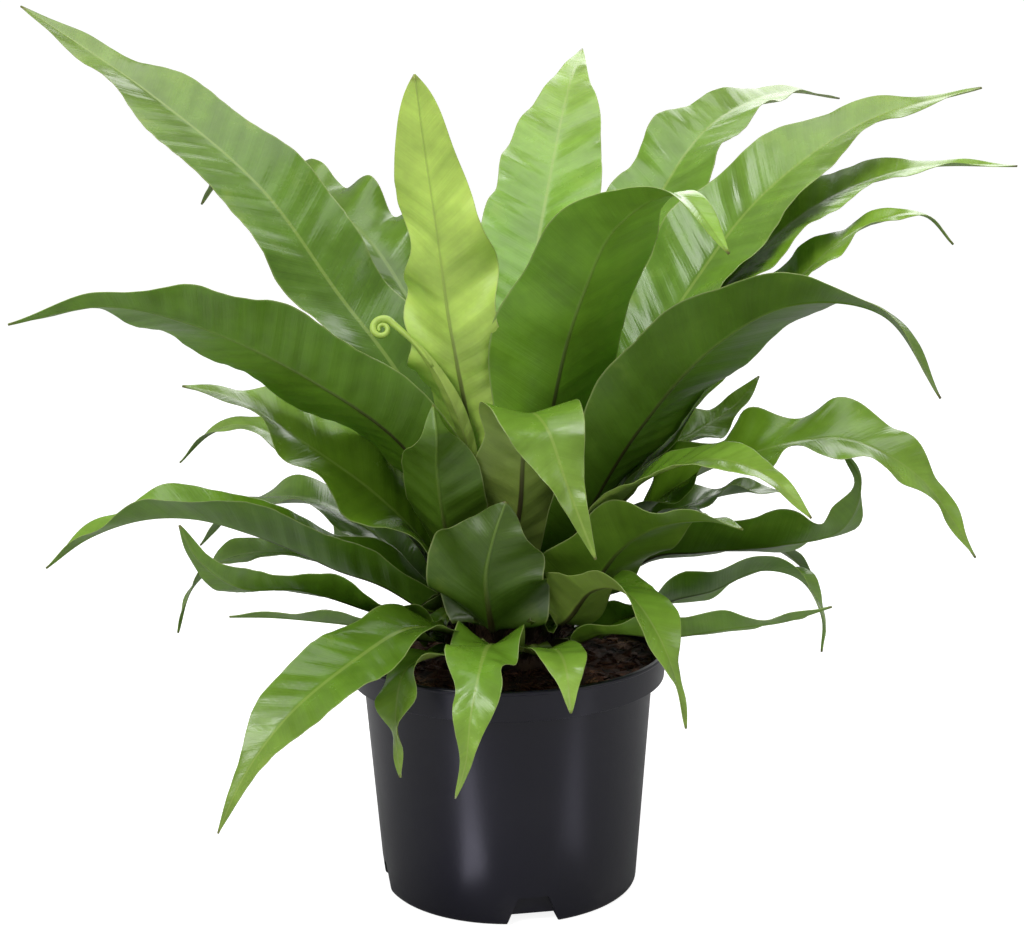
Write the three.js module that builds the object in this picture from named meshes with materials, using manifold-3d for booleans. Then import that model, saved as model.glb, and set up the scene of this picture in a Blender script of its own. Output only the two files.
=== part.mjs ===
// Potted bird's nest fern: a rosette of strap-shaped fronds on a short upright rootstock, in a black
// nursery pot.
// Millimetres, +Z up. The origin is the middle of the pot's foot, on the surface that it stands on.
// +Y points away from the side that the plant is usually looked at from, and +X to the right of it.

import * as THREE from "three";
import { mergeVertices } from "three/addons/utils/BufferGeometryUtils.js";
import Module from "manifold-3d";

const wasm = await Module();
wasm.setup();

// Driving dimensions of the pot

const POT_HEIGHT = 145;
const RIM_RADIUS = 95;
const RIM_BAND = 18;
const BAND_TAPER = 1.5;
const LIP = 1;
const BODY_TOP_RADIUS = 85.5;
const BODY_FOOT_RADIUS = 76;
const FOOT_EDGE = 2.5;
const WALL = 1.4;
const FLOOR = 2;
const FLOOR_CHAMFER = 2.5;
const STEP_DEPTH = 1;
const LIP_DEPTH = 1.8;
const LIP_SLOPE = 0.6;
const LIP_ROUND = 0.5;
const PAD_RADIUS = 30;
const CHANNEL_RADIUS = 64;
const CHANNEL_HEIGHT = 6;
const CHANNEL_SLOPE = 4;
const NOTCH_TURNS = [10, 100, 190, 280];
const NOTCH_WIDTH = 28;
const NOTCH_HEIGHT = 5.5;
const NOTCH_DEPTH = 14;
const RECESS_HEIGHT = 17;
const RECESS_DEPTH = 4.5;
const DRAIN_RADIUS = 5;
const DRAIN_CIRCLE = 49;
const DRAIN_COUNT = 8;
const DRAIN_SIDES = 12;
const POT_SIDES = 48;
const CUT_SLOPE = 0.3;
const CUT_OVERRUN = 2;
const CUT_REACH = 30;

// Driving dimensions of the soil and of the crown

const SOIL_EDGE_HEIGHT = 133;
const SOIL_RISE = 5;
const SOIL_BUMP = 1.6;
const SOIL_RINGS = 7;
const SOIL_SIDES = 36;
const CROWN_RADIUS = 31;
const CROWN_CENTRE_HEIGHT = 141;
const CROWN_FOOT_RADIUS = 20;
const CROWN_FOOT_HEIGHT = 96;
const CROWN_SIDES = 24;
const CROWN_STEP = 19;
const CROWN_LOWEST = 95;
const SEAT_SPACING = 11.5;
const SEAT_ROUNDS = 60;
const FIT_GAP = 0.35;
const SOCKET_REACH = 8;
const SOCKET_HEADROOM = 0.8;
const SOCKET_RAISED = 0.2;

// The lumps of the soil's surface: how many there are round a ring, and how far each ring's are turned
// on.
const LUMPS = [
  { count: 5, shift: 2.1 },
  { count: 9, shift: -1.3 },
  { count: 14, shift: 3.7 },
];

// Driving dimensions that every frond shares

const BLADE_EDGE = 0.7;
const BLADE_HALF = 0.9;
const RIB_THICKNESS = 1.5;
const STALK_HALF_WIDTH = 3.2;
const STALK_THICKNESS = 4;
const STALK_SUNK = 7;
const STALK_RUN = 20;
const COLLAR = 12;
const SETTLING_RUN = 50;
const RIB_RUN = 100;
const RIB_FALL = 1.5;
const STATION = 19;
const FEWEST_STATIONS = 9;
const MOST_STATIONS = 21;
const NARROW_BLADE = 46;

// How a blade's fold and waves run: the fold at its foot and its tip as shares of the frond's own, how
// soft the fold is at the midrib, how fast a wave grows towards the margin, how far the pleats slant
// back, how far out of step the two margins are, how the margin and the wave's length wander, and how
// far and from where the tip is drawn out narrow.
const FOLD_AT_FOOT = 1.25;
const FOLD_LOST = 0.6;
const RIB_SOFTNESS = 0.1;
const RUFFLE_GROWTH = 1.4;
const RUFFLE_FADE = 0.3;
const TIP_SPARED = 0.04;
const PLEAT_SLANT = 0.55;
const MARGIN_SHIFT = 1.9;
const MARGIN_WOBBLE = 0.06;
const WOBBLE_RUN = 17;
const WANDER = 0.5;
const WANDER_RUN = 41;
const TIP_HALF_WIDTH = 0.6;
const TIP_NARROWING = 0.15;
const TIP_DRAWN = 0.4;
const DRAWN_FROM = 0.68;
const DRAWN_REACH = 0.24;

// How the fronds are bent clear of each other: the air left between two blades, how deep a crossing is
// mended, and in how many rounds.
const BEND_CLEAR = 1.4;
const BEND_REACH = 9;
const BEND_ROUNDS = 30;
const FACET_SLACK = 0.05;

const degrees = THREE.MathUtils.degToRad;

// Where the fronds sit on the crown, from the newest ring at the top to the oldest round the side:
// how far down the dome the ring lies, and how steeply its stalks leave, both in degrees.
const RINGS = [
  { down: 12, rise: 85 },
  { down: 30, rise: 75 },
  { down: 47, rise: 62 },
  { down: 63, rise: 48 },
  { down: 80, rise: 31 },
];

// The fronds, newest first. turn is the way a frond leans, anticlockwise from +X. line is its midrib, as
// points of [reach, height] or [reach, height, side], with reach measured out from the axis that way.
// width is the blade's full width, widest how far along it has it, flare how slowly it widens from the
// stalk, and taper how late it narrows to the tip. roll turns the blade about its midrib at its foot,
// middle and tip, and fold is the V of its halves, in degrees. pleat is the length of one wave of its
// margin, and ruffle that wave's height.
const FRONDS = [
  {
    name: "crozier", ring: 0, turn: -120, age: "young", width: 20,
    roll: [0, 10, 30], fold: 40, pleat: 60, ruffle: 1,
    line: [[32, 235], [50, 285], [58, 312, -8], [62, 330, -20], [64, 343, -36]],
  },
  {
    name: "frond_upright_left", ring: 0, turn: -120, age: "young",
    width: 66, flare: 2.2, taper: 7, drawn: 0,
    roll: [0, 10, 30], fold: 16, pleat: 62, ruffle: 7,
    line: [[28, 250], [49, 308], [62, 355], [72, 400], [82, 440], [90, 478]],
  },
  {
    name: "frond_upright_back", ring: 0, turn: 80, age: "young", width: 74, flare: 1.5,
    roll: [0, 0, 0], fold: 14, pleat: 48, ruffle: 5,
    line: [[30, 240], [80, 320], [130, 372], [200, 425], [265, 465], [330, 490]],
  },

  {
    name: "frond_left_high", ring: 1, turn: 155, age: "young", width: 68, flare: 0.9, taper: 4,
    roll: [0, -26, -15], fold: 14, pleat: 75, ruffle: 7,
    line: [[30, 240], [70, 300], [110, 350], [160, 410], [235, 465], [330, 520]],
  },
  {
    name: "frond_centre_right", ring: 1, turn: -50, age: "mature", width: 80,
    roll: [0, -18, 0], fold: 18, pleat: 80, ruffle: 5,
    line: [[28, 240], [46, 308], [72, 358, -4], [104, 398, -8], [142, 416, -2], [178, 388]],
  },
  {
    name: "frond_back_left", ring: 1, turn: 126, age: "middle", width: 62, flare: 1.7,
    roll: [0, -10, 0], fold: 16, pleat: 60, ruffle: 8,
    line: [[35, 255], [80, 320], [140, 372], [215, 400], [315, 415], [365, 385]],
  },
  {
    name: "frond_right_high", ring: 1, turn: 12, age: "young", width: 74, flare: 0.9,
    roll: [0, 28, 15], fold: 20, pleat: 70, ruffle: 6,
    line: [[35, 230], [70, 290], [110, 350], [155, 405], [215, 445], [290, 465]],
  },
  {
    name: "frond_back_right", ring: 1, turn: 48, age: "young", width: 66,
    roll: [0, 5, 10], fold: 18, pleat: 60, ruffle: 6,
    line: [[50, 255], [95, 340], [145, 400], [195, 440], [275, 460], [345, 455]],
  },
  {
    name: "frond_folded_over", ring: 1, turn: -80, age: "young", width: 58, widest: 0.5, taper: 1.6,
    roll: [0, 0, 10], fold: 14, pleat: 70, ruffle: 4,
    line: [[40, 230], [58, 270], [80, 297], [104, 292, 5], [120, 265, 12], [135, 228, 24]],
  },
  {
    name: "frond_right_broad", ring: 1, turn: -28, age: "mature", width: 76,
    roll: [0, -34, -5], fold: 16, pleat: 65, ruffle: 6,
    line: [[40, 210], [85, 280], [130, 330], [175, 355], [225, 352], [257, 310]],
  },

  {
    name: "frond_left_broad", ring: 2, turn: 208, age: "mature", width: 72, flare: 0.8, taper: 3.5,
    roll: [0, 36, 25], fold: 16, pleat: 65, ruffle: 6,
    line: [[35, 220], [65, 270], [120, 313], [185, 348], [235, 362], [285, 356]],
  },
  {
    name: "frond_right_upper", ring: 2, turn: 8, age: "middle", width: 58,
    roll: [0, 20, 10], fold: 18, pleat: 55, ruffle: 6,
    line: [[40, 215], [75, 268], [115, 335], [155, 378], [195, 405], [245, 420], [305, 420]],
  },
  {
    name: "frond_left_second", ring: 2, turn: 196, age: "middle", width: 76, flare: 0.7,
    roll: [0, -35, -10], fold: 14, pleat: 55, ruffle: 8,
    line: [[45, 205], [80, 243], [120, 275], [155, 300], [185, 310]],
  },
  {
    name: "frond_trumpet", ring: 2, turn: -132, age: "mature", width: 54, flare: 1.4,
    roll: [0, 20, 60], fold: 30, pleat: 60, ruffle: 5,
    line: [[40, 196], [56, 232, 3], [70, 264, 12], [80, 285, 22], [75, 300, 15]],
  },
  {
    name: "frond_front_cup", ring: 3, turn: -100, age: "mature", width: 70, widest: 0.6, flare: 1.0, taper: 4,
    roll: [0, 0, 0], fold: 22, pleat: 36, ruffle: 7,
    line: [[46, 166], [58, 182], [66, 203], [70, 228, 6], [66, 246, 12]],
  },
  {
    name: "frond_right_under", ring: 2, turn: 1, age: "middle", width: 48, flare: 2.4,
    roll: [0, 15, 10], fold: 16, pleat: 50, ruffle: 5,
    line: [[50, 208], [90, 265], [130, 316], [170, 360], [205, 388], [240, 395], [258, 378]],
  },
  {
    name: "frond_left_thin", ring: 2, turn: 173, age: "middle", width: 42,
    roll: [0, -20, 0], fold: 14, pleat: 50, ruffle: 4,
    line: [[50, 205], [90, 245], [130, 265], [155, 275], [175, 270], [195, 252]],
  },
  {
    name: "frond_right_glossy", ring: 2, turn: -22, age: "middle", width: 62,
    roll: [0, 18, 15], fold: 16, pleat: 48, ruffle: 5,
    line: [[60, 205], [105, 248], [150, 270], [200, 280], [240, 262], [272, 220]],
  },
  {
    name: "frond_right_light", ring: 2, turn: -42, age: "young", width: 44,
    roll: [0, 12, 10], fold: 14, pleat: 55, ruffle: 4,
    line: [[60, 215], [105, 258], [150, 275], [185, 270], [212, 252]],
  },
  {
    name: "frond_back_inner", ring: 2, turn: 100, age: "mature", width: 64,
    roll: [0, 0, 0], fold: 16, pleat: 60, ruffle: 7,
    line: [[55, 220], [105, 275], [160, 305], [215, 305], [265, 280]],
  },
  {
    name: "frond_back_side", ring: 2, turn: 62, age: "mature", width: 62,
    roll: [0, 5, 0], fold: 16, pleat: 55, ruffle: 7,
    line: [[55, 210], [110, 262], [170, 288], [230, 285], [285, 250]],
  },

  {
    name: "frond_left_long", ring: 3, turn: 191, age: "mature", width: 66, flare: 0.7,
    roll: [0, 6, 4], fold: 38, pleat: 60, ruffle: 6,
    line: [
      [45, 168], [70, 182], [100, 196], [122, 208], [150, 221],
      [180, 231], [210, 232], [240, 223], [264, 207],
    ],
  },
  {
    name: "frond_right_curled", ring: 3, turn: 25, age: "mature", width: 48,
    roll: [0, 0, 30], fold: 20, pleat: 45, ruffle: 7,
    line: [[55, 200], [95, 245], [130, 262], [155, 275], [172, 292]],
  },
  {
    name: "frond_right_middle", ring: 3, turn: -40, age: "middle", width: 64, flare: 0.6,
    roll: [0, -28, -10], fold: 18, pleat: 50, ruffle: 7,
    line: [[50, 175], [80, 212], [110, 232], [145, 240], [165, 238]],
  },
  {
    name: "frond_right_hooked", ring: 3, turn: -16, age: "mature", width: 60,
    roll: [0, -34, -20], fold: 20, pleat: 50, ruffle: 7,
    line: [[50, 172], [85, 198], [120, 208], [160, 214], [195, 225], [205, 252], [195, 270]],
  },
  {
    name: "frond_right_far", ring: 3, turn: 4, age: "mature", width: 46,
    roll: [0, 0, 0], fold: 18, pleat: 45, ruffle: 7,
    line: [[50, 178], [85, 215], [120, 230], [150, 234], [170, 232]],
  },
  {
    name: "frond_left_twisted", ring: 3, turn: 207, age: "mature", width: 42, flare: 1.4,
    roll: [0, 20, 50], fold: 16, pleat: 50, ruffle: 6,
    line: [[50, 157], [90, 178], [130, 195], [165, 201], [188, 220], [198, 240]],
  },
  {
    name: "frond_left_low", ring: 3, turn: 176, age: "mature", width: 34, flare: 1.4,
    roll: [0, -10, 0], fold: 16, pleat: 50, ruffle: 5,
    line: [[50, 172], [90, 192], [130, 200], [165, 196], [188, 178], [198, 150]],
  },
  {
    name: "frond_left_behind", ring: 3, turn: 152, age: "mature", width: 50, flare: 1.6,
    roll: [0, -5, 0], fold: 16, pleat: 50, ruffle: 6,
    line: [[50, 172], [95, 205], [140, 220], [185, 212], [222, 182]],
  },
  {
    name: "frond_front_right", ring: 3, turn: -56, age: "young", width: 50, flare: 1.1, taper: 1.6,
    roll: [-10, -18, -10], fold: 22, pleat: 60, ruffle: 6,
    line: [[48, 168, 5], [80, 194, 4], [114, 200, 2], [142, 182, 2], [154, 158, 5], [158, 134, 8]],
  },
  {
    name: "frond_back_middle", ring: 3, turn: 80, age: "mature", width: 58,
    roll: [0, 0, 0], fold: 14, pleat: 60, ruffle: 6,
    line: [[50, 180], [100, 222], [155, 240], [210, 225], [250, 190]],
  },

  {
    name: "frond_left_drooping", ring: 4, turn: 230, age: "young", width: 50, flare: 1.0,
    roll: [0, -12, -10], fold: 14, pleat: 60, ruffle: 5,
    line: [[50, 162], [90, 175, 4], [135, 168, 6], [185, 150, 6], [215, 126, 4], [232, 98]],
  },
  {
    name: "frond_left_dark", ring: 4, turn: 210, age: "mature", width: 42, flare: 1.6,
    roll: [0, 10, 20], fold: 16, pleat: 45, ruffle: 5,
    line: [[50, 156], [85, 168], [120, 177], [150, 184], [175, 188]],
  },
  {
    name: "frond_front_left", ring: 4, turn: -117, age: "young", width: 34, flare: 1.3,
    roll: [0, 20, 20], fold: 14, pleat: 38, ruffle: 5,
    line: [[45, 152, 0], [78, 161, -4], [104, 156, -10], [119, 132, -8], [124, 102, -3]],
  },
  {
    name: "frond_front", ring: 4, turn: -98, age: "young", width: 42, flare: 0.8, taper: 2,
    roll: [0, 0, 0], fold: 14, pleat: 45, ruffle: 6,
    line: [[45, 154], [80, 166], [110, 160], [128, 142, -2], [134, 118, -4], [134, 98, -10]],
  },
  {
    name: "frond_front_small", ring: 4, turn: -76, age: "young", width: 30,
    roll: [0, 0, 0], fold: 14, pleat: 40, ruffle: 4,
    line: [[45, 152, 4], [80, 163, 8], [108, 160, 6], [124, 141, 4]],
  },
  {
    name: "frond_right_bent", ring: 4, turn: -23, age: "mature", width: 56, flare: 1.2,
    roll: [0, -20, -10], fold: 16, pleat: 50, ruffle: 6,
    line: [[50, 156], [95, 174], [125, 188], [155, 204], [178, 200], [190, 180], [190, 160]],
  },
  {
    name: "frond_right_low", ring: 4, turn: -36, age: "mature", width: 50, flare: 1.0,
    roll: [0, -26, -10], fold: 16, pleat: 45, ruffle: 6,
    line: [[50, 154], [80, 162], [115, 168], [150, 178], [185, 188], [212, 200]],
  },
  {
    name: "frond_back_low_right", ring: 4, turn: 34, age: "mature", width: 56,
    roll: [0, 0, 0], fold: 14, pleat: 55, ruffle: 6,
    line: [[50, 160], [100, 185], [155, 195], [205, 178], [245, 145]],
  },
  {
    name: "frond_back_low_left", ring: 4, turn: 118, age: "mature", width: 56,
    roll: [0, 0, 0], fold: 14, pleat: 55, ruffle: 6,
    line: [[50, 162], [100, 188], [160, 196], [215, 175], [255, 135]],
  },
  {
    name: "frond_back_low_middle", ring: 4, turn: 72, age: "mature", width: 54,
    roll: [0, 0, 0], fold: 14, pleat: 60, ruffle: 6,
    line: [[50, 160], [105, 180], [165, 178], [210, 155], [240, 115]],
  },
];

// Solids

/** A three.js geometry as a manifold-3d solid. */
function solidOf(geometry) {
  const bare = geometry.index ? geometry.toNonIndexed() : geometry.clone();
  const positions = new THREE.BufferGeometry().setAttribute("position", bare.getAttribute("position"));
  const merged = mergeVertices(positions, 1e-4);
  return new wasm.Manifold(
    new wasm.Mesh({
      numProp: 3,
      vertProperties: merged.attributes.position.array,
      triVerts: new Uint32Array(merged.index.array),
    }),
  );
}

/** A manifold-3d solid as a three.js geometry. */
function geometryOf(solid) {
  const mesh = solid.getMesh();
  const positions = new Float32Array(mesh.numVert * 3);
  for (let i = 0; i < mesh.numVert; i++) {
    positions.set(mesh.vertProperties.subarray(i * mesh.numProp, i * mesh.numProp + 3), i * 3);
  }
  return new THREE.BufferGeometry()
    .setAttribute("position", new THREE.BufferAttribute(positions, 3))
    .setIndex(new THREE.BufferAttribute(mesh.triVerts, 1));
}

/**
 * The solid that an outline of [radius, height] points sweeps round the upright axis, outside first,
 * going up.
 */
function turned(outline, sides) {
  const points = outline.map(([radius, height]) => new THREE.Vector2(radius, height));
  return solidOf(new THREE.LatheGeometry(points, sides).rotateX(Math.PI / 2));
}

/** The unit vectors out from the axis and sideways, for a turn in degrees. */
function outAndSide(turn) {
  const angle = degrees(turn);
  return {
    out: new THREE.Vector3(Math.cos(angle), Math.sin(angle), 0),
    side: new THREE.Vector3(-Math.sin(angle), Math.cos(angle), 0),
  };
}

const smooth = (t) => t * t * (3 - 2 * t);
const clamp01 = (t) => Math.min(1, Math.max(0, t));

// Pot

/**
 * A wedge that cuts the pot's foot at one turn: outwards from a radius, up to a height, with sloped
 * ends.
 */
function footCut(turn, radius, width, height) {
  const slope = height * CUT_SLOPE;
  const end = new THREE.Shape([
    new THREE.Vector2(-width / 2 - CUT_OVERRUN, -CUT_OVERRUN),
    new THREE.Vector2(width / 2 + CUT_OVERRUN, -CUT_OVERRUN),
    new THREE.Vector2(width / 2 - slope, height),
    new THREE.Vector2(-width / 2 + slope, height),
  ]);
  const cut = new THREE.ExtrudeGeometry(end, { depth: CUT_REACH, bevelEnabled: false });
  cut.rotateX(Math.PI / 2).rotateZ(Math.PI / 2).translate(radius, 0, 0).rotateZ(degrees(turn));
  return solidOf(cut);
}

/** The pot's hollow, or with a gap the space that the soil fills, up to a height in the rim band. */
function potHollow(gap, top) {
  const inner = WALL + gap;
  const floor = FLOOR + gap;
  const bodyTop = POT_HEIGHT - RIM_BAND;
  const bandFoot = RIM_RADIUS - LIP - BAND_TAPER - inner;
  let hollow = turned(
    [
      [0, floor],
      [PAD_RADIUS - inner, floor],
      [PAD_RADIUS + CHANNEL_SLOPE - inner, CHANNEL_HEIGHT + floor],
      [BODY_FOOT_RADIUS - inner - FLOOR_CHAMFER, CHANNEL_HEIGHT + floor],
      [BODY_FOOT_RADIUS - inner, CHANNEL_HEIGHT + floor + FLOOR_CHAMFER],
      [BODY_TOP_RADIUS - inner, bodyTop - WALL + gap],
      [bandFoot, bodyTop + WALL + gap],
      [bandFoot + (BAND_TAPER * (top - bodyTop)) / RIM_BAND, top],
      [0, top],
    ],
    POT_SIDES,
  );
  for (const turn of NOTCH_TURNS) {
    const radius = BODY_FOOT_RADIUS - RECESS_DEPTH - inner;
    hollow = hollow.subtract(footCut(turn, radius, NOTCH_WIDTH + 2 * inner, RECESS_HEIGHT + inner));
  }
  return hollow;
}

/**
 * The pot: a flared shell with a stepped rim band, a raised floor between its foot ring and pad, and
 * notches.
 */
function makePot() {
  const bodyTop = POT_HEIGHT - RIM_BAND;
  const outline = [
    [0, 0],
    [PAD_RADIUS, 0],
    [PAD_RADIUS + CHANNEL_SLOPE, CHANNEL_HEIGHT],
    [CHANNEL_RADIUS, CHANNEL_HEIGHT],
    [CHANNEL_RADIUS + CHANNEL_SLOPE, 0],
    [BODY_FOOT_RADIUS - FOOT_EDGE, 0],
    [BODY_FOOT_RADIUS - FOOT_EDGE / 3, FOOT_EDGE * (2 / 3)],
    [BODY_FOOT_RADIUS, FOOT_EDGE * 2],
    [BODY_TOP_RADIUS, bodyTop - STEP_DEPTH],
    [RIM_RADIUS - LIP - BAND_TAPER, bodyTop],
    [RIM_RADIUS - LIP, POT_HEIGHT - LIP_DEPTH - LIP_SLOPE],
    [RIM_RADIUS, POT_HEIGHT - LIP_DEPTH],
    [RIM_RADIUS, POT_HEIGHT - LIP_ROUND],
    [RIM_RADIUS - LIP_ROUND, POT_HEIGHT],
    [0, POT_HEIGHT],
  ];
  let pot = turned(outline, POT_SIDES);
  for (const turn of NOTCH_TURNS) {
    pot = pot.subtract(footCut(turn, BODY_FOOT_RADIUS - RECESS_DEPTH, NOTCH_WIDTH, RECESS_HEIGHT));
    pot = pot.subtract(footCut(turn, BODY_FOOT_RADIUS - NOTCH_DEPTH, NOTCH_WIDTH, NOTCH_HEIGHT));
  }
  pot = pot.subtract(potHollow(0, POT_HEIGHT + CUT_OVERRUN));
  for (let i = 0; i < DRAIN_COUNT; i++) {
    const depth = FLOOR + 2 * CUT_OVERRUN;
    const hole = new THREE.CylinderGeometry(DRAIN_RADIUS, DRAIN_RADIUS, depth, DRAIN_SIDES);
    hole.rotateX(Math.PI / 2).translate(DRAIN_CIRCLE, 0, CHANNEL_HEIGHT + FLOOR / 2);
    pot = pot.subtract(solidOf(hole.rotateZ((2 * Math.PI * (i + 0.5)) / DRAIN_COUNT)));
  }
  return geometryOf(pot);
}

// Soil and crown

/** The crown's outline, grown by a gap: a dome on a tapering stub. */
function crownOutline(gap) {
  const outline = [[0, CROWN_FOOT_HEIGHT - gap], [CROWN_FOOT_RADIUS + gap, CROWN_FOOT_HEIGHT - gap]];
  for (let down = CROWN_LOWEST; down > 0; down -= CROWN_STEP) {
    const radius = (CROWN_RADIUS + gap) * Math.sin(degrees(down));
    outline.push([radius, CROWN_CENTRE_HEIGHT + (CROWN_RADIUS + gap) * Math.cos(degrees(down))]);
  }
  outline.push([0, CROWN_CENTRE_HEIGHT + CROWN_RADIUS + gap]);
  return outline;
}

/** The air over the soil, with a lumpy underside that is heaped a little towards the crown. */
function airOverSoil(depth) {
  const angleOf = (i, j) => (2 * Math.PI * (j + 0.5 * (i % 2))) / SOIL_SIDES;
  const positions = [0, 0, SOIL_EDGE_HEIGHT + SOIL_RISE];
  for (let i = 1; i <= SOIL_RINGS; i++) {
    const share = i / SOIL_RINGS;
    for (let j = 0; j < SOIL_SIDES; j++) {
      const angle = angleOf(i, j);
      const lump = LUMPS.reduce((sum, { count, shift }) => sum + Math.sin(angle * count + i * shift), 0);
      const height = SOIL_EDGE_HEIGHT + SOIL_RISE * (1 - share) + (SOIL_BUMP * lump) / LUMPS.length;
      positions.push(RIM_RADIUS * share * Math.cos(angle), RIM_RADIUS * share * Math.sin(angle), height);
    }
  }
  const lid = positions.length / 3;
  for (let j = 0; j < SOIL_SIDES; j++) {
    const angle = angleOf(SOIL_RINGS, j);
    positions.push(RIM_RADIUS * Math.cos(angle), RIM_RADIUS * Math.sin(angle), SOIL_EDGE_HEIGHT + depth);
  }
  positions.push(0, 0, SOIL_EDGE_HEIGHT + depth);

  const peak = lid + SOIL_SIDES;
  const edge = lid - SOIL_SIDES;
  const faces = [];
  for (let j = 0; j < SOIL_SIDES; j++) {
    const next = (j + 1) % SOIL_SIDES;
    faces.push(0, 1 + next, 1 + j);
    for (let i = 1; i < SOIL_RINGS; i++) {
      const near = 1 + (i - 1) * SOIL_SIDES;
      const far = near + SOIL_SIDES;
      if (i % 2) faces.push(near + j, near + next, far + next, near + j, far + next, far + j);
      else faces.push(near + j, near + next, far + j, near + next, far + next, far + j);
    }
    faces.push(edge + j, edge + next, lid + next, edge + j, lid + next, lid + j);
    faces.push(peak, lid + j, lid + next);
  }
  const geometry = new THREE.BufferGeometry();
  geometry.setAttribute("position", new THREE.Float32BufferAttribute(positions, 3)).setIndex(faces);
  return solidOf(geometry);
}

/** The soil: what fills the pot up to its lumpy surface, with the crown's hole in it. */
function makeSoil() {
  const highest = SOIL_EDGE_HEIGHT + SOIL_RISE + 2 * SOIL_BUMP;
  const soil = potHollow(FIT_GAP, highest).subtract(airOverSoil(2 * (highest - SOIL_EDGE_HEIGHT)));
  return geometryOf(soil.subtract(turned(crownOutline(FIT_GAP), CROWN_SIDES)));
}

/** The plain hole that a frond's stalk stands in. */
function socketOf(frond) {
  const { foot, leaving, across, upward } = frond.seat;
  const depth = STALK_SUNK + FIT_GAP;
  const length = depth + SOCKET_REACH;
  const height = STALK_THICKNESS + 2 * FIT_GAP + SOCKET_HEADROOM;
  const socket = new THREE.BoxGeometry(2 * (STALK_HALF_WIDTH + FIT_GAP), height, length);
  const middle = foot.clone().addScaledVector(leaving, length / 2 - depth);
  middle.addScaledVector(upward, SOCKET_RAISED);
  const pose = new THREE.Matrix4().makeBasis(across, upward, leaving).setPosition(middle);
  return solidOf(socket.applyMatrix4(pose));
}

/** The crown, with a socket for every stalk. */
function makeCrown(fronds) {
  let crown = turned(crownOutline(0), CROWN_SIDES);
  for (const frond of fronds) crown = crown.subtract(socketOf(frond));
  return geometryOf(crown);
}

// Fronds

/**
 * Gives every frond its seat on the crown, as near to its own turn as the stalks beside it in the ring
 * allow.
 */
function seatFronds(fronds) {
  RINGS.forEach(({ down, rise }, index) => {
    const members = fronds.filter((frond) => frond.ring === index);
    members.sort((a, b) => ((a.turn + 360) % 360) - ((b.turn + 360) % 360));
    const turns = members.map((frond) => (frond.turn + 360) % 360);
    const least = THREE.MathUtils.radToDeg(SEAT_SPACING / (CROWN_RADIUS * Math.sin(degrees(down))));
    for (let round = 0; round < SEAT_ROUNDS; round++) {
      for (let place = 0; place < turns.length; place++) {
        const next = (place + 1) % turns.length;
        const short = least - ((turns[next] - turns[place] + 720) % 360);
        if (short > 0) {
          turns[place] -= short / 2;
          turns[next] += short / 2;
        }
      }
    }
    members.forEach((frond, place) => {
      const seat = outAndSide(turns[place]);
      const radial = seat.out.clone().multiplyScalar(Math.sin(degrees(down)));
      radial.z = Math.cos(degrees(down));
      const foot = radial.multiplyScalar(CROWN_RADIUS).add(new THREE.Vector3(0, 0, CROWN_CENTRE_HEIGHT));
      const leaving = seat.out.clone().multiplyScalar(Math.cos(degrees(rise)));
      leaving.z = Math.sin(degrees(rise));
      const across = seat.side.clone();
      frond.seat = { foot, leaving, across, upward: leaving.clone().cross(across) };
    });
  });
}

/**
 * The midrib: straight out of its socket for the stalk's run, then through the points of the frond's
 * line.
 */
function midribOf(frond) {
  const { foot, leaving } = frond.seat;
  const { out, side } = outAndSide(frond.turn);
  const points = [-STALK_SUNK, 0, STALK_RUN].map((run) => foot.clone().addScaledVector(leaving, run));
  for (const [reach, height, sideways = 0] of frond.line) {
    points.push(out.clone().multiplyScalar(reach).addScaledVector(side, sideways).setZ(height));
  }
  return new THREE.CatmullRomCurve3(points, false, "centripetal");
}

/** A value that runs smoothly from the foot's through the middle's to the tip's. */
function along([foot, middle, tip], u) {
  return u < 0.5 ? foot + (middle - foot) * smooth(u * 2) : middle + (tip - middle) * smooth(u * 2 - 1);
}

/** Half of the blade's width at u, from 0 at the collar to 1 at the tip, before its edge waves. */
function halfWidth(frond, u) {
  const widest = frond.widest ?? 0.5;
  const full = frond.width / 2;
  if (u < widest) {
    const flare = frond.flare ?? 1.1;
    return STALK_HALF_WIDTH + (full - STALK_HALF_WIDTH) * Math.sin(((Math.PI / 2) * u) / widest) ** flare;
  }
  const t = (u - widest) / (1 - widest);
  const drawn = (frond.drawn ?? TIP_DRAWN) * smooth(clamp01((u - DRAWN_FROM) / DRAWN_REACH));
  return full * (1 - t ** (frond.taper ?? 3)) * (1 - TIP_NARROWING * t) * (1 - drawn) + TIP_HALF_WIDTH;
}

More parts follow.
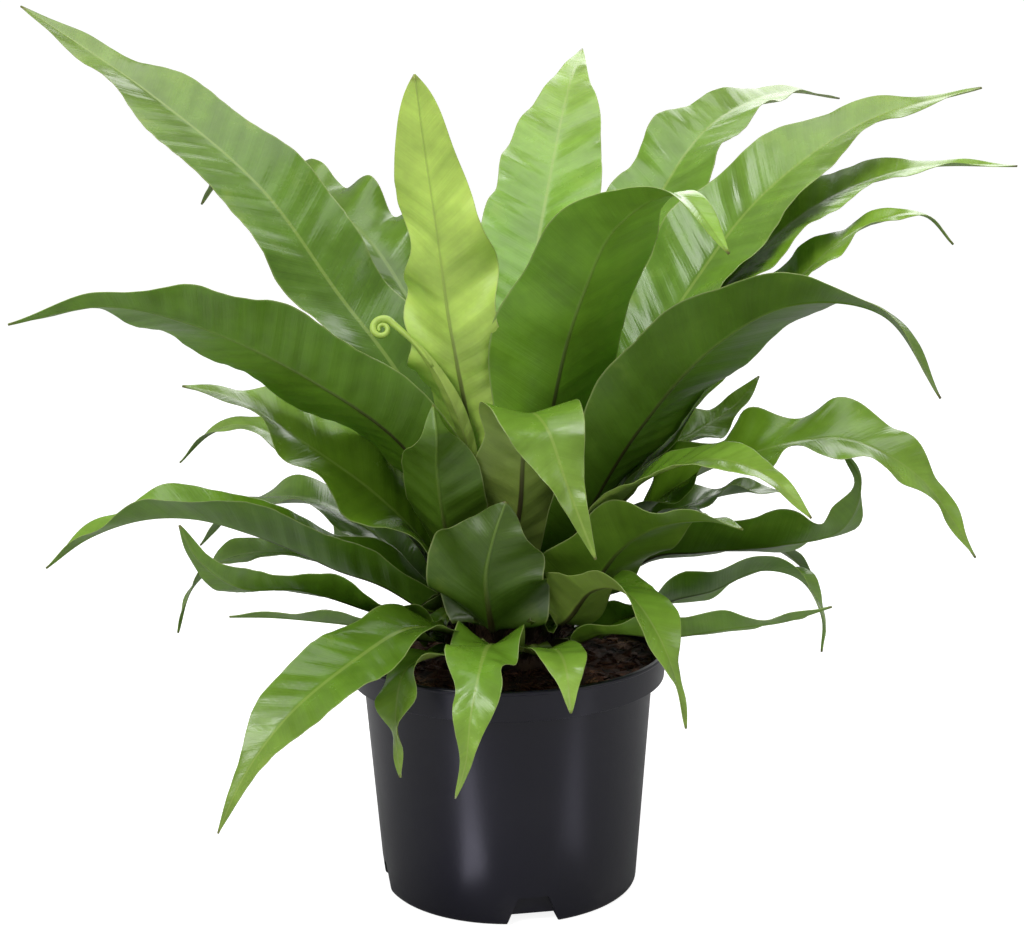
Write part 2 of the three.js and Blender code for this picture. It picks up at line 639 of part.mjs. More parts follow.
/**
 * A point of the blade's middle surface: run is the way along the midrib, and v goes from -1 to 1
 * across.
 */
function bladePoint(frond, midrib, length, run, v) {
  const at = midrib.getPointAt(clamp01(run / length));
  const tangent = midrib.getTangentAt(clamp01(run / length));
  const u = clamp01((run - COLLAR) / (length - COLLAR));
  const settled = smooth(clamp01((run - COLLAR) / SETTLING_RUN));
  const side = frond.seat.across.clone().lerp(outAndSide(frond.turn).side, settled);
  const across = side.addScaledVector(tangent, -side.dot(tangent)).normalize();
  const normal = tangent.clone().cross(across);
  const roll = degrees(along(frond.roll, u));
  const outward = across.clone().multiplyScalar(Math.cos(roll)).addScaledVector(normal, Math.sin(roll));
  const upward = normal.clone().multiplyScalar(Math.cos(roll)).addScaledVector(across, -Math.sin(roll));

  const wide = Math.abs(v);
  const shift = v < 0 ? MARGIN_SHIFT : 0;
  const shown = smooth(clamp01(u / RUFFLE_FADE)) * smooth(clamp01((1 + TIP_SPARED - u) / RUFFLE_FADE));
  const half = halfWidth(frond, u) * (1 + MARGIN_WOBBLE * shown * Math.sin(run / WOBBLE_RUN + 2 * shift));
  const wander = WANDER * Math.sin(run / WANDER_RUN);
  const wave = Math.sin((2 * Math.PI * (run - PLEAT_SLANT * half * wide)) / frond.pleat + wander + shift);
  const fold = degrees(frond.fold) * (FOLD_AT_FOOT - FOLD_LOST * u);
  const bowed = Math.hypot(wide, RIB_SOFTNESS) - RIB_SOFTNESS;
  const lift = half * bowed * Math.sin(fold) + frond.ruffle * shown * wide ** RUFFLE_GROWTH * wave;
  return at.addScaledVector(outward, half * v * Math.cos(fold)).addScaledVector(upward, lift);
}

/** A frond as a grid: its stations from foot to tip, each with a row of points across the blade. */
function frondGrid(frond) {
  const midrib = midribOf(frond);
  const length = midrib.getLength();
  const columns = frond.width > NARROW_BLADE ? [-1, -0.5, 0, 0.5, 1] : [-1, 0, 1];
  const steps = Math.max(FEWEST_STATIONS, Math.min(MOST_STATIONS, Math.round(length / STATION)));
  const grid = { frond, length, columns: columns.length, rows: [], thickness: [], free: [] };
  for (let i = 0; i <= steps; i++) {
    const run = i === 0 ? 0 : COLLAR + ((length - COLLAR) * (i - 1)) / (steps - 1);
    grid.rows.push(columns.map((v) => bladePoint(frond, midrib, length, run, v)));
    const stout = (1 - clamp01((run - COLLAR) / RIB_RUN)) ** RIB_FALL;
    const rib = RIB_THICKNESS + (STALK_THICKNESS - RIB_THICKNESS) * stout;
    grid.thickness.push(columns.map((v) => (v === 0 ? rib : Math.abs(v) === 1 ? BLADE_EDGE : BLADE_HALF)));
    grid.free.push(smooth(clamp01((run - COLLAR) / SETTLING_RUN)));
  }
  return grid;
}

/** Every facet of a grid's middle surface, as corner points with their places in the grid. */
function facetsOf(grid) {
  const facets = [];
  for (let i = 0; i + 1 < grid.rows.length; i++) {
    for (let j = 0; j + 1 < grid.columns; j++) {
      facets.push([[i, j], [i + 1, j], [i + 1, j + 1]], [[i, j], [i + 1, j + 1], [i, j + 1]]);
    }
  }
  return facets;
}

/** Where points of one grid lie close over or under facets of another, with their heights over them. */
function contactsOf(grid, other) {
  const contacts = [];
  const a = new THREE.Vector3();
  const b = new THREE.Vector3();
  const p = new THREE.Vector3();
  for (const facet of other.facets) {
    const [p0, p1, p2] = facet.map(([i, j]) => other.rows[i][j]);
    a.subVectors(p1, p0);
    b.subVectors(p2, p0);
    const normal = new THREE.Vector3().crossVectors(a, b);
    const area = normal.length();
    normal.divideScalar(area);
    const facetThickness = Math.max(...facet.map(([i, j]) => other.thickness[i][j]));
    for (let i = 0; i < grid.rows.length; i++) {
      for (let j = 0; j < grid.columns; j++) {
        p.subVectors(grid.rows[i][j], p0);
        const height = p.dot(normal);
        if (Math.abs(height) > BEND_REACH) continue;
        const s = p.clone().cross(b).dot(normal) / area;
        const t = a.clone().cross(p).dot(normal) / area;
        if (s < -FACET_SLACK || t < -FACET_SLACK || s + t > 1 + FACET_SLACK) continue;
        const clear = BEND_CLEAR + (facetThickness + grid.thickness[i][j]) / 2;
        contacts.push({ i, j, facet, normal, height, clear });
      }
    }
  }
  return contacts;
}

/**
 * Presses two blades apart where they come too close, each to the side of the other that most of it is
 * on.
 */
function pressApart(grid, other) {
  const contacts = contactsOf(grid, other);
  const side = Math.sign(contacts.reduce((sum, contact) => sum + contact.height, 0));
  for (const { i, j, facet, normal, height, clear } of contacts) {
    const need = clear - side * height;
    if (need <= 0) continue;
    const push = normal.clone().multiplyScalar((side * need) / 2);
    if (push.lengthSq() > grid.push[i][j].lengthSq()) grid.push[i][j].copy(push);
    push.negate();
    for (const [k, m] of facet) {
      if (push.lengthSq() > other.push[k][m].lengthSq()) other.push[k][m].copy(push);
    }
  }
}

/**
 * Spreads the pushes along and across a blade, so that it bends as a whole, and moves its points by
 * them.
 */
function yieldToPush(grid) {
  const last = grid.rows.length - 1;
  const ownShare = 0.5;
  const sideShare = 0.125;
  grid.rows.forEach((row, i) => {
    row.forEach((point, j) => {
      const push = grid.push[i][j].clone().multiplyScalar(ownShare);
      push.addScaledVector(grid.push[Math.max(0, i - 1)][j], sideShare);
      push.addScaledVector(grid.push[Math.min(last, i + 1)][j], sideShare);
      push.addScaledVector(grid.push[i][Math.max(0, j - 1)], sideShare);
      push.addScaledVector(grid.push[i][Math.min(grid.columns - 1, j + 1)], sideShare);
      point.addScaledVector(push, grid.free[i]);
    });
  });
}

/** Bends the fronds clear of each other, a little in each of many rounds. */
function bendClear(grids) {
  for (const grid of grids) grid.facets = facetsOf(grid);
  for (let round = 0; round < BEND_ROUNDS; round++) {
    for (const grid of grids) {
      grid.push = grid.rows.map((row) => row.map(() => new THREE.Vector3()));
      grid.box = new THREE.Box3().setFromPoints(grid.rows.flat());
    }
    grids.forEach((grid, place) => {
      for (const other of grids.slice(place + 1)) {
        if (!grid.box.intersectsBox(other.box)) continue;
        pressApart(grid, other);
        pressApart(other, grid);
      }
    });
    grids.forEach(yieldToPush);
  }
}

/** A frond as one closed blade: the same points above and below, split alike, and walled at its edges. */
function frondGeometry(grid) {
  const { rows, thickness, columns } = grid;
  const last = rows.length - 1;
  const positions = [];
  rows.forEach((row, i) => {
    const above = [];
    const below = [];
    row.forEach((point, j) => {
      const run = rows[Math.min(last, i + 1)][j].clone().sub(rows[Math.max(0, i - 1)][j]);
      const spread = row[Math.min(columns - 1, j + 1)].clone().sub(row[Math.max(0, j - 1)]);
      const offset = run.cross(spread).normalize().multiplyScalar(thickness[i][j] / 2);
      above.push(point.clone().add(offset));
      below.push(point.clone().sub(offset));
    });
    for (const point of [...above, ...below]) positions.push(point.x, point.y, point.z);
  });
  const ring = 2 * columns;
  const faces = [];
  const quad = (a, b, c, d) => faces.push(a, b, c, a, c, d);
  const side = columns - 1;
  for (let i = 0; i < last; i++) {
    const near = i * ring;
    const far = near + ring;
    for (let j = 0; j < side; j++) {
      quad(near + j, far + j, far + j + 1, near + j + 1);
      const under = near + columns + j;
      const ahead = far + columns + j;
      faces.push(under, ahead + 1, ahead, under, under + 1, ahead + 1);
    }
    quad(near, near + columns, far + columns, far);
    quad(near + side, far + side, far + columns + side, near + columns + side);
  }
  for (let j = 0; j < side; j++) {
    quad(j, j + 1, columns + j + 1, columns + j);
    const tip = last * ring + j;
    quad(tip, tip + columns, tip + columns + 1, tip + 1);
  }
  return new THREE.BufferGeometry()
    .setAttribute("position", new THREE.Float32BufferAttribute(positions, 3))
    .setIndex(faces);
}

// The plant in its pot

const potPlastic = new THREE.MeshStandardMaterial({ color: 0x242329, roughness: 0.42 });
const soilBark = new THREE.MeshStandardMaterial({ color: 0x3a2318, roughness: 0.95 });
const crownScale = new THREE.MeshStandardMaterial({ color: 0x2c1a10, roughness: 0.9 });
const frondGreens = {
  young: new THREE.MeshStandardMaterial({ color: 0x7fa83a, roughness: 0.4 }),
  middle: new THREE.MeshStandardMaterial({ color: 0x4f8426, roughness: 0.36 }),
  mature: new THREE.MeshStandardMaterial({ color: 0x35641c, roughness: 0.34 }),
};

/** A mesh with a name and a material. */
function namedMesh(name, geometry, material) {
  const mesh = new THREE.Mesh(geometry, material);
  mesh.name = name;
  return mesh;
}

seatFronds(FRONDS);
const grids = FRONDS.map(frondGrid);
bendClear(grids);

const fern = new THREE.Group();
fern.add(namedMesh("pot", makePot(), potPlastic));
fern.add(namedMesh("soil", makeSoil(), soilBark));
fern.add(namedMesh("crown", makeCrown(FRONDS), crownScale));
for (const grid of grids) {
  fern.add(namedMesh(grid.frond.name, frondGeometry(grid), frondGreens[grid.frond.age]));
}

export default fern;
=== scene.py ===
# Potted bird's nest fern. Sizes are in millimetres in the script and become metres where a mesh is made.

import math

import bmesh
import bpy
import numpy as np
from mathutils import Matrix, Vector


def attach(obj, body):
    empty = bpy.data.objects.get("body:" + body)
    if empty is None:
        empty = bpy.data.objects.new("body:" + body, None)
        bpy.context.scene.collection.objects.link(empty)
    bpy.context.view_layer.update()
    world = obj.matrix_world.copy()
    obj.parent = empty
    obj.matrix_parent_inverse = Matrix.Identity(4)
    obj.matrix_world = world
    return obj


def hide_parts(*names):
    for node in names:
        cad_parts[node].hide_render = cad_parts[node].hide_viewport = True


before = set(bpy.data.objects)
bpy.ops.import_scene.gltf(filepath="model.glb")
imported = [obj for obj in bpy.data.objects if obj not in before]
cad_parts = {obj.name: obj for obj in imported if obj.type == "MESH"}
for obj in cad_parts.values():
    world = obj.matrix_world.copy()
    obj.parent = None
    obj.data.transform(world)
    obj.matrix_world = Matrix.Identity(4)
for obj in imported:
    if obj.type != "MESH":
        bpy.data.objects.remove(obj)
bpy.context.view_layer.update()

# The nursery pot. A thin-walled pot of black polypropylene, injection moulded in one piece: a flared body
# with a stepped band and a fine lip round its rim, a raised floor with drain holes, and four notches in its
# foot that let water out.

MM = 0.001
POT_HEIGHT = 145
RIM_RADIUS = 95
RIM_BAND = 18
BAND_TAPER = 1.5
LIP = 1
LIP_DEPTH = 1.8
BODY_TOP_RADIUS = 85.5
BODY_FOOT_RADIUS = 76
WALL = 1.4
FLOOR = 2
FLOOR_CHAMFER = 2.5
PAD_RADIUS = 30
CHANNEL_RADIUS = 64
CHANNEL_HEIGHT = 6
CHANNEL_SLOPE = 4
NOTCH_TURNS = (10, 100, 190, 280)
NOTCH_WIDTH = 28
NOTCH_HEIGHT = 5.5
NOTCH_DEPTH = 14
RECESS_HEIGHT = 17
RECESS_DEPTH = 4.5
CUT_SLOPE = 0.3
CUT_OVERRUN = 2
CUT_REACH = 30
DRAIN_RADIUS = 5
DRAIN_CIRCLE = 49
DRAIN_COUNT = 8
DRAIN_SIDES = 24
POT_SIDES = 192
BAND_STEP = 1
BAND_TOP_ROUND = 0.9
BAND_FOOT_ROUND = 0.7
LIP_STEP = 0.6
LIP_ROUND = 0.5
LIP_FOOT_ROUND = 0.4
FOOT_INSET = 0.4
FOOT_ROUND = 3.0
EDGE_ROUND = 0.8
INNER_ROUND = 0.6
MOST_ROUND = 0.45
ARC_STEPS = 5
SHARP_ANGLE = 40
POT_COLOUR = (0.0042, 0.0036, 0.0115, 1)
POT_DUST = (0.045, 0.043, 0.047, 1)
POT_SPECKS = dict(scale=420, detail=4, roughness=0.6)
POT_SMEARS = dict(scale=22, detail=4, roughness=0.65)
POT_GRAIN = dict(strength=0.25, distance=0.00012)
POT_ROUGHNESS = 0.22
SMEAR_ROUGHNESS = 0.14
SPECK_ROUGHNESS = 0.05
POT_SPECULAR = 0.45
DUST_LEVELS = dict(low=0.0, high=0.03, to_low=0.35, to_high=0.05)


def make_object(name, points, faces, smooth=True):
    """A new object in the scene from points in millimetres and faces."""
    mesh = bpy.data.meshes.new(name)
    mesh.from_pydata((np.asarray(points, float) * MM).tolist(), [], faces)
    if smooth:
        mesh.shade_smooth()
    mesh.update()
    made = bpy.data.objects.new(name, mesh)
    bpy.context.scene.collection.objects.link(made)
    return made


def rounded(corners):
    """An outline from (radius, height, round) corners, with each round corner drawn as an arc."""
    outline = []
    for place, (x, z, size) in enumerate(corners):
        here = np.array([x, z], float)
        if not size or place in (0, len(corners) - 1):
            outline.append(here)
            continue
        back = np.array(corners[place - 1][:2], float) - here
        ahead = np.array(corners[place + 1][:2], float) - here
        back_length = np.linalg.norm(back)
        ahead_length = np.linalg.norm(ahead)
        cut = min(size, MOST_ROUND * back_length, MOST_ROUND * ahead_length)
        start = here + back * cut / back_length
        end = here + ahead * cut / ahead_length
        for step in range(ARC_STEPS + 1):
            t = step / ARC_STEPS
            outline.append((1 - t) ** 2 * start + 2 * t * (1 - t) * here + t * t * end)
    return outline


def ring_faces(rings, sides):
    """The faces of a closed solid: a first point, rings of points one above the other, and a last point."""
    edge = 1 + (rings - 1) * sides
    faces = []
    for side in range(sides):
        after = (side + 1) % sides
        faces.append((0, 1 + after, 1 + side))
        for ring in range(rings - 1):
            low = 1 + ring * sides
            high = low + sides
            faces.append((low + side, low + after, high + after, high + side))
        faces.append((edge + side, edge + after, edge + sides))
    return faces


def turned(name, outline, sides):
    """A closed solid of revolution from an outline that starts and ends on the axis."""
    inner = outline[1:-1]
    points = [(0, 0, outline[0][1])]
    for radius, height in inner:
        for side in range(sides):
            angle = 2 * math.pi * side / sides
            points.append((radius * math.cos(angle), radius * math.sin(angle), height))
    points.append((0, 0, outline[-1][1]))
    return make_object(name, points, ring_faces(len(inner), sides))


def foot_cut(turn, radius, width, height):
    """A wedge that cuts the foot at one turn, outwards from a radius."""
    slope = height * CUT_SLOPE
    ends = [
        (-width / 2 - CUT_OVERRUN, -CUT_OVERRUN),
        (width / 2 + CUT_OVERRUN, -CUT_OVERRUN),
        (width / 2 - slope, height),
        (-width / 2 + slope, height),
    ]
    points = [(radius + reach, y, z) for reach in (0, CUT_REACH) for y, z in ends]
    faces = [(3, 2, 1, 0), (4, 5, 6, 7)]
    faces += [(i, (i + 1) % 4, (i + 1) % 4 + 4, i + 4) for i in range(4)]
    cut = make_object("cut", points, faces, smooth=False)
    cut.data.transform(Matrix.Rotation(math.radians(turn), 4, "Z"))
    return cut


def carve(body, cutter):
    """Takes one solid out of another and removes the cutter."""
    modifier = body.modifiers.new("carve", "BOOLEAN")
    modifier.operation = "DIFFERENCE"
    modifier.solver = "EXACT"
    modifier.object = cutter
    depsgraph = bpy.context.evaluated_depsgraph_get()
    carved = bpy.data.meshes.new_from_object(body.evaluated_get(depsgraph))
    body.modifiers.remove(modifier)
    body.data = carved
    bpy.data.objects.remove(cutter)


body_top = POT_HEIGHT - RIM_BAND
band_foot = RIM_RADIUS - LIP - BAND_TAPER
outside = rounded(
    [
        (0, 0, 0),
        (PAD_RADIUS, 0, EDGE_ROUND),
        (PAD_RADIUS + CHANNEL_SLOPE, CHANNEL_HEIGHT, EDGE_ROUND),
        (CHANNEL_RADIUS, CHANNEL_HEIGHT, EDGE_ROUND),
        (CHANNEL_RADIUS + CHANNEL_SLOPE, 0, EDGE_ROUND),
        (BODY_FOOT_RADIUS - FOOT_INSET, 0, FOOT_ROUND),
        (BODY_TOP_RADIUS, body_top - BAND_STEP, EDGE_ROUND),
        (band_foot, body_top, BAND_FOOT_ROUND),
        (RIM_RADIUS - LIP, POT_HEIGHT - LIP_DEPTH - LIP_STEP, LIP_FOOT_ROUND),
        (RIM_RADIUS, POT_HEIGHT - LIP_DEPTH, LIP_ROUND),
        (RIM_RADIUS, POT_HEIGHT, BAND_TOP_ROUND),
        (0, POT_HEIGHT, 0),
    ]
)
pot = turned("pot_moulded", outside, POT_SIDES)
for notch_turn in NOTCH_TURNS:
    carve(pot, foot_cut(notch_turn, BODY_FOOT_RADIUS - RECESS_DEPTH, NOTCH_WIDTH, RECESS_HEIGHT))
    carve(pot, foot_cut(notch_turn, BODY_FOOT_RADIUS - NOTCH_DEPTH, NOTCH_WIDTH, NOTCH_HEIGHT))
inside = rounded(
    [
        (0, FLOOR, 0),
        (PAD_RADIUS - WALL, FLOOR, INNER_ROUND),
        (PAD_RADIUS + CHANNEL_SLOPE - WALL, CHANNEL_HEIGHT + FLOOR, INNER_ROUND),
        (BODY_FOOT_RADIUS - WALL - FLOOR_CHAMFER, CHANNEL_HEIGHT + FLOOR, 0),
        (BODY_FOOT_RADIUS - WALL, CHANNEL_HEIGHT + FLOOR + FLOOR_CHAMFER, 0),
        (BODY_TOP_RADIUS - WALL, body_top - WALL, EDGE_ROUND),
        (band_foot - WALL, body_top + WALL, EDGE_ROUND),
        (band_foot + BAND_TAPER - WALL, POT_HEIGHT, 0),
        (band_foot + BAND_TAPER - WALL, POT_HEIGHT + CUT_OVERRUN, 0),
        (0, POT_HEIGHT + CUT_OVERRUN, 0),
    ]
)
hollow = turned("hollow", inside, POT_SIDES)
for notch_turn in NOTCH_TURNS:
    recess_foot = BODY_FOOT_RADIUS - RECESS_DEPTH - WALL
    carve(hollow, foot_cut(notch_turn, recess_foot, NOTCH_WIDTH + 2 * WALL, RECESS_HEIGHT + WALL))
carve(pot, hollow)
deep = FLOOR / 2 + CUT_OVERRUN
for hole in range(DRAIN_COUNT):
    hole_angle = 2 * math.pi * (hole + 0.5) / DRAIN_COUNT
    hole_x = math.cos(hole_angle) * DRAIN_CIRCLE
    hole_y = math.sin(hole_angle) * DRAIN_CIRCLE
    drill_outline = [(0, -deep), (DRAIN_RADIUS, -deep), (DRAIN_RADIUS, deep), (0, deep)]
    drill = turned("drill", drill_outline, DRAIN_SIDES)
    drill.data.transform(Matrix.Translation(Vector((hole_x, hole_y, CHANNEL_HEIGHT + FLOOR / 2)) * MM))
    carve(pot, drill)
pot.data.shade_smooth()
pot.data.set_sharp_from_angle(angle=math.radians(SHARP_ANGLE))


def new_material(name):
    """A material with its nodes, links and shader, which is wired to the output."""
    material = bpy.data.materials.new(name)
    material.use_nodes = True
    tree = material.node_tree
    tree.nodes.clear()
    output = tree.nodes.new("ShaderNodeOutputMaterial")
    shader = tree.nodes.new("ShaderNodeBsdfPrincipled")
    tree.links.new(shader.outputs["BSDF"], output.inputs["Surface"])
    return material, tree, shader


def new_group(name, inputs, outputs):
    """A shader node group with named sockets, given as (name, kind, value) and (name, kind)."""
    tree = bpy.data.node_groups.new(name, "ShaderNodeTree")
    for label, kind, value in inputs:
        socket = tree.interface.new_socket(label, in_out="INPUT", socket_type="NodeSocket" + kind)
        socket.default_value = value
    for label, kind in outputs:
        tree.interface.new_socket(label, in_out="OUTPUT", socket_type="NodeSocket" + kind)
    return tree, tree.nodes.new("NodeGroupInput").outputs, tree.nodes.new("NodeGroupOutput").inputs


class Wiring:
    """Short ways to add nodes to one tree: each returns the output that the next one reads."""

    def __init__(self, tree):
        self.tree = tree

    def put(self, socket, value):
        """Links an output to a socket, or sets a plain value on it."""
        if isinstance(value, bpy.types.NodeSocket):
            self.tree.links.new(value, socket)
        else:
            socket.default_value = value

    def math(self, operation, a, b=0.0, c=0.0, clamp=False):
        """One step of arithmetic."""
        node = self.tree.nodes.new("ShaderNodeMath")
        node.operation = operation
        node.use_clamp = clamp
        for socket, value in zip(node.inputs, (a, b, c)):
            self.put(socket, value)
        return node.outputs[0]

    def ramp(self, value, low, high, to_low=0.0, to_high=1.0):
        """A value carried smoothly from one range to another."""
        node = self.tree.nodes.new("ShaderNodeMapRange")
        node.interpolation_type = "SMOOTHSTEP"
        for socket, given in zip(node.inputs, (value, low, high, to_low, to_high)):
            self.put(socket, given)
        return node.outputs[0]

    def mix(self, share, a, b, blend="MIX"):
        """Two colours mixed."""
        node = self.tree.nodes.new("ShaderNodeMix")
        node.data_type = "RGBA"
        node.blend_type = blend
        self.put(node.inputs["Factor"], share)
        self.put(node.inputs["A"], a)
        self.put(node.inputs["B"], b)
        return next(output for output in node.outputs if output.type == "RGBA")

    def noise(self, vector, scale, detail=2.0, roughness=0.5):
        """Noise over a place, from 0 to 1."""
        node = self.tree.nodes.new("ShaderNodeTexNoise")
        self.put(node.inputs["Vector"], vector)
        node.inputs["Scale"].default_value = scale
        node.inputs["Detail"].default_value = detail
        node.inputs["Roughness"].default_value = roughness
        return node.outputs[0]

    def place(self):
        """The place on the object, in metres."""
        return self.tree.nodes.new("ShaderNodeTexCoord").outputs["Object"]

    def parts(self, vector):
        """The three parts of a vector."""
        node = self.tree.nodes.new("ShaderNodeSeparateXYZ")
        self.put(node.inputs[0], vector)
        return node.outputs

    def joined(self, x, y, z):
        """A vector from three values."""
        node = self.tree.nodes.new("ShaderNodeCombineXYZ")
        for socket, value in zip(node.inputs, (x, y, z)):
            self.put(socket, value)
        return node.outputs[0]

    def attribute(self, name):
        """What the mesh says at each point under that name."""
        node = self.tree.nodes.new("ShaderNodeAttribute")
        node.attribute_name = name
        return node.outputs["Vector"]

    def bump(self, height, strength, distance):
        """A normal that a height bends."""
        node = self.tree.nodes.new("ShaderNodeBump")
        node.inputs["Strength"].default_value = strength
        node.inputs["Distance"].default_value = distance
        self.put(node.inputs["Height"], height)
        return node.outputs[0]


pot_material, pot_tree, pot_shader = new_material("pot_plastic")
wire = Wiring(pot_tree)
spot = wire.place()
pot_specks = wire.noise(spot, **POT_SPECKS)
pot_smears = wire.noise(spot, **POT_SMEARS)
dust_low = wire.ramp(wire.parts(spot)[2], **DUST_LEVELS)
dust = wire.math("MULTIPLY", wire.ramp(pot_smears, 0.45, 0.75), dust_low)
wire.put(pot_shader.inputs["Base Color"], wire.mix(dust, POT_COLOUR, POT_DUST))
pot_roughness = wire.math("MULTIPLY_ADD", pot_smears, SMEAR_ROUGHNESS, POT_ROUGHNESS)
pot_roughness = wire.math("MULTIPLY_ADD", pot_specks, SPECK_ROUGHNESS, pot_roughness)
wire.put(pot_shader.inputs["Roughness"], pot_roughness)
grain = wire.math("MULTIPLY_ADD", pot_smears, 0.6, pot_specks)
wire.put(pot_shader.inputs["Normal"], wire.bump(grain, **POT_GRAIN))
pot_shader.inputs["Specular IOR Level"].default_value = POT_SPECULAR

pot.data.materials.clear()
pot.data.materials.append(pot_material)
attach(pot, "root")
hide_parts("pot")

# The potting mix. Dark composted bark and coir, filled to just under the rim and heaped a little round the
# plant, with loose bark chips on top and a few coir fibres.

SOIL_EDGE_HEIGHT = 133
SOIL_RISE = 5
SOIL_BUMP = 1.6
SOIL_FOOT = CHANNEL_HEIGHT + FLOOR + 0.5
SOIL_GAP = 0.5
SOIL_RINGS = 60
SOIL_SIDES = 180
LUMPS = ((5, 2.1), (9, -1.3), (14, 3.7))
LUMP_RINGS = 7
NARROWS_ABOVE_RECESS = (12, 6)
CHIP_COUNT = 620
CHIP_LENGTH = (4, 13)
CHIP_WIDTH_SHARE = (0.35, 0.7)
CHIP_THICKNESS = (1.2, 3.2)
CHIP_CORNERS = 9
CHIP_BLUNTNESS = 0.7
CHIP_TILT = 0.28
CHIP_LIFT = (-0.2, 1.4)
FIBRE_COUNT = 90
FIBRE_LENGTH = (10, 26)
FIBRE_RADIUS = 0.28
FIBRE_BEND = 2.2
FIBRE_STEPS = 9
FIBRE_LIFT = (0.9, 1.6)
CROWN_CLEARANCE = 26
SOIL_SEED = 7
BARK_DARK = (0.012, 0.0055, 0.003, 1)
BARK_RED = (0.11, 0.035, 0.015, 1)
BARK_PALE = (0.30, 0.15, 0.075, 1)
SOIL_CLODS = dict(scale=90, detail=5, roughness=0.65)
SOIL_CRUMBS = dict(scale=420, detail=4, roughness=0.7)
SOIL_PATCHES = dict(scale=55, detail=1, roughness=0.5)
SOIL_RELIEF = dict(strength=0.9, distance=0.0016)


def soil_height(x, y):
    """The height of the mix's lumpy surface over a place."""
    radius = np.hypot(x, y)
    angle = np.arctan2(y, x)
    share = np.clip(radius / RIM_RADIUS, 0, 1)
    lump = sum(np.sin(angle * count + share * LUMP_RINGS * shift) for count, shift in LUMPS) * share
    fine = 0.5 * np.sin(x * 0.61 + 1.3) * np.sin(y * 0.57)
    fine = fine + 0.35 * np.sin(x * 1.7 + y * 1.1) * np.sin(y * 1.9 - x)
    return SOIL_EDGE_HEIGHT + SOIL_RISE * (1 - share) + SOIL_BUMP * lump / len(LUMPS) + fine


def wall_radius(height):
    """The pot's inner radius at a height above its floor."""
    heights = (CHANNEL_HEIGHT + FLOOR, body_top - WALL, body_top + WALL, POT_HEIGHT)
    radii = (BODY_FOOT_RADIUS, BODY_TOP_RADIUS, band_foot, band_foot + BAND_TAPER)
    return np.interp(height, heights, radii) - WALL


def soil_ring(radius, level=None):
    """A ring of points on the mix's surface, or at one level in the pot."""
    angles = 2 * np.pi * np.arange(SOIL_SIDES) / SOIL_SIDES
    x = radius * np.cos(angles)
    y = radius * np.sin(angles)
    return np.stack([x, y, soil_height(x, y) if level is None else angles * 0 + level], 1)


top_radius = wall_radius(SOIL_EDGE_HEIGHT) - SOIL_GAP
foot_radius = BODY_FOOT_RADIUS - RECESS_DEPTH - 2 * WALL
narrows_from, narrows_to = (RECESS_HEIGHT + above for above in NARROWS_ABOVE_RECESS)
rings = [soil_ring(top_radius * ring / SOIL_RINGS) for ring in range(1, SOIL_RINGS + 1)]
for level in (body_top + WALL, body_top - WALL, narrows_from):
    rings.append(soil_ring(wall_radius(level) - SOIL_GAP, level))
for level in (narrows_to, SOIL_FOOT):
    rings.append(soil_ring(foot_radius, level))
soil_points = np.concatenate([[[0, 0, soil_height(0, 0)]], *rings, [[0, 0, SOIL_FOOT]]])
soil_faces = [(face[0], *face[:0:-1]) for face in ring_faces(len(rings), SOIL_SIDES)]
soil = make_object("potting_mix", soil_points, soil_faces)


def joined_mesh(name, shapes, smooth):
    """One object from many small shapes, each a pair of points and faces."""
    points = []
    faces = []
    for shape_points, shape_faces in shapes:
        start = len(points)
        points.extend(shape_points)
        faces.extend(tuple(corner + start for corner in face) for face in shape_faces)
    return make_object(name, points, faces, smooth)


def bark_chip(rng):
    """A splinter of bark lying on the mix: a rough convex shard."""
    length = rng.uniform(*CHIP_LENGTH)
    size = np.array([length, length * rng.uniform(*CHIP_WIDTH_SHARE), rng.uniform(*CHIP_THICKNESS)]) / 2
    corners = rng.uniform(-1, 1, (CHIP_CORNERS, 3))
    corners /= np.abs(corners).max(axis=1, keepdims=True) ** CHIP_BLUNTNESS
    shard = bmesh.new()
    for corner in corners * size:
        shard.verts.new(corner)
    hull = bmesh.ops.convex_hull(shard, input=shard.verts)
    loose = [e for e in hull["geom_interior"] + hull["geom_unused"] if isinstance(e, bmesh.types.BMVert)]
    bmesh.ops.delete(shard, geom=list(set(loose)), context="VERTS")
    reach = math.sqrt(rng.uniform((CROWN_CLEARANCE / top_radius) ** 2, 1)) * (top_radius - length / 2 - 1)
    turn = rng.uniform(0, 2 * math.pi)
    x, y = reach * math.cos(turn), reach * math.sin(turn)
    tilt = Matrix.Rotation(rng.normal(0, CHIP_TILT), 4, "X")
    tilt = tilt @ Matrix.Rotation(rng.normal(0, CHIP_TILT), 4, "Y")
    lie = Matrix.Translation((x, y, float(soil_height(x, y)) + rng.uniform(*CHIP_LIFT)))
    shard.transform(lie @ Matrix.Rotation(rng.uniform(0, 6.28), 4, "Z") @ tilt)
    shard.verts.index_update()
    points = [tuple(v.co) for v in shard.verts]
    faces = [tuple(v.index for v in f.verts) for f in shard.faces]
    shard.free()
    return points, faces


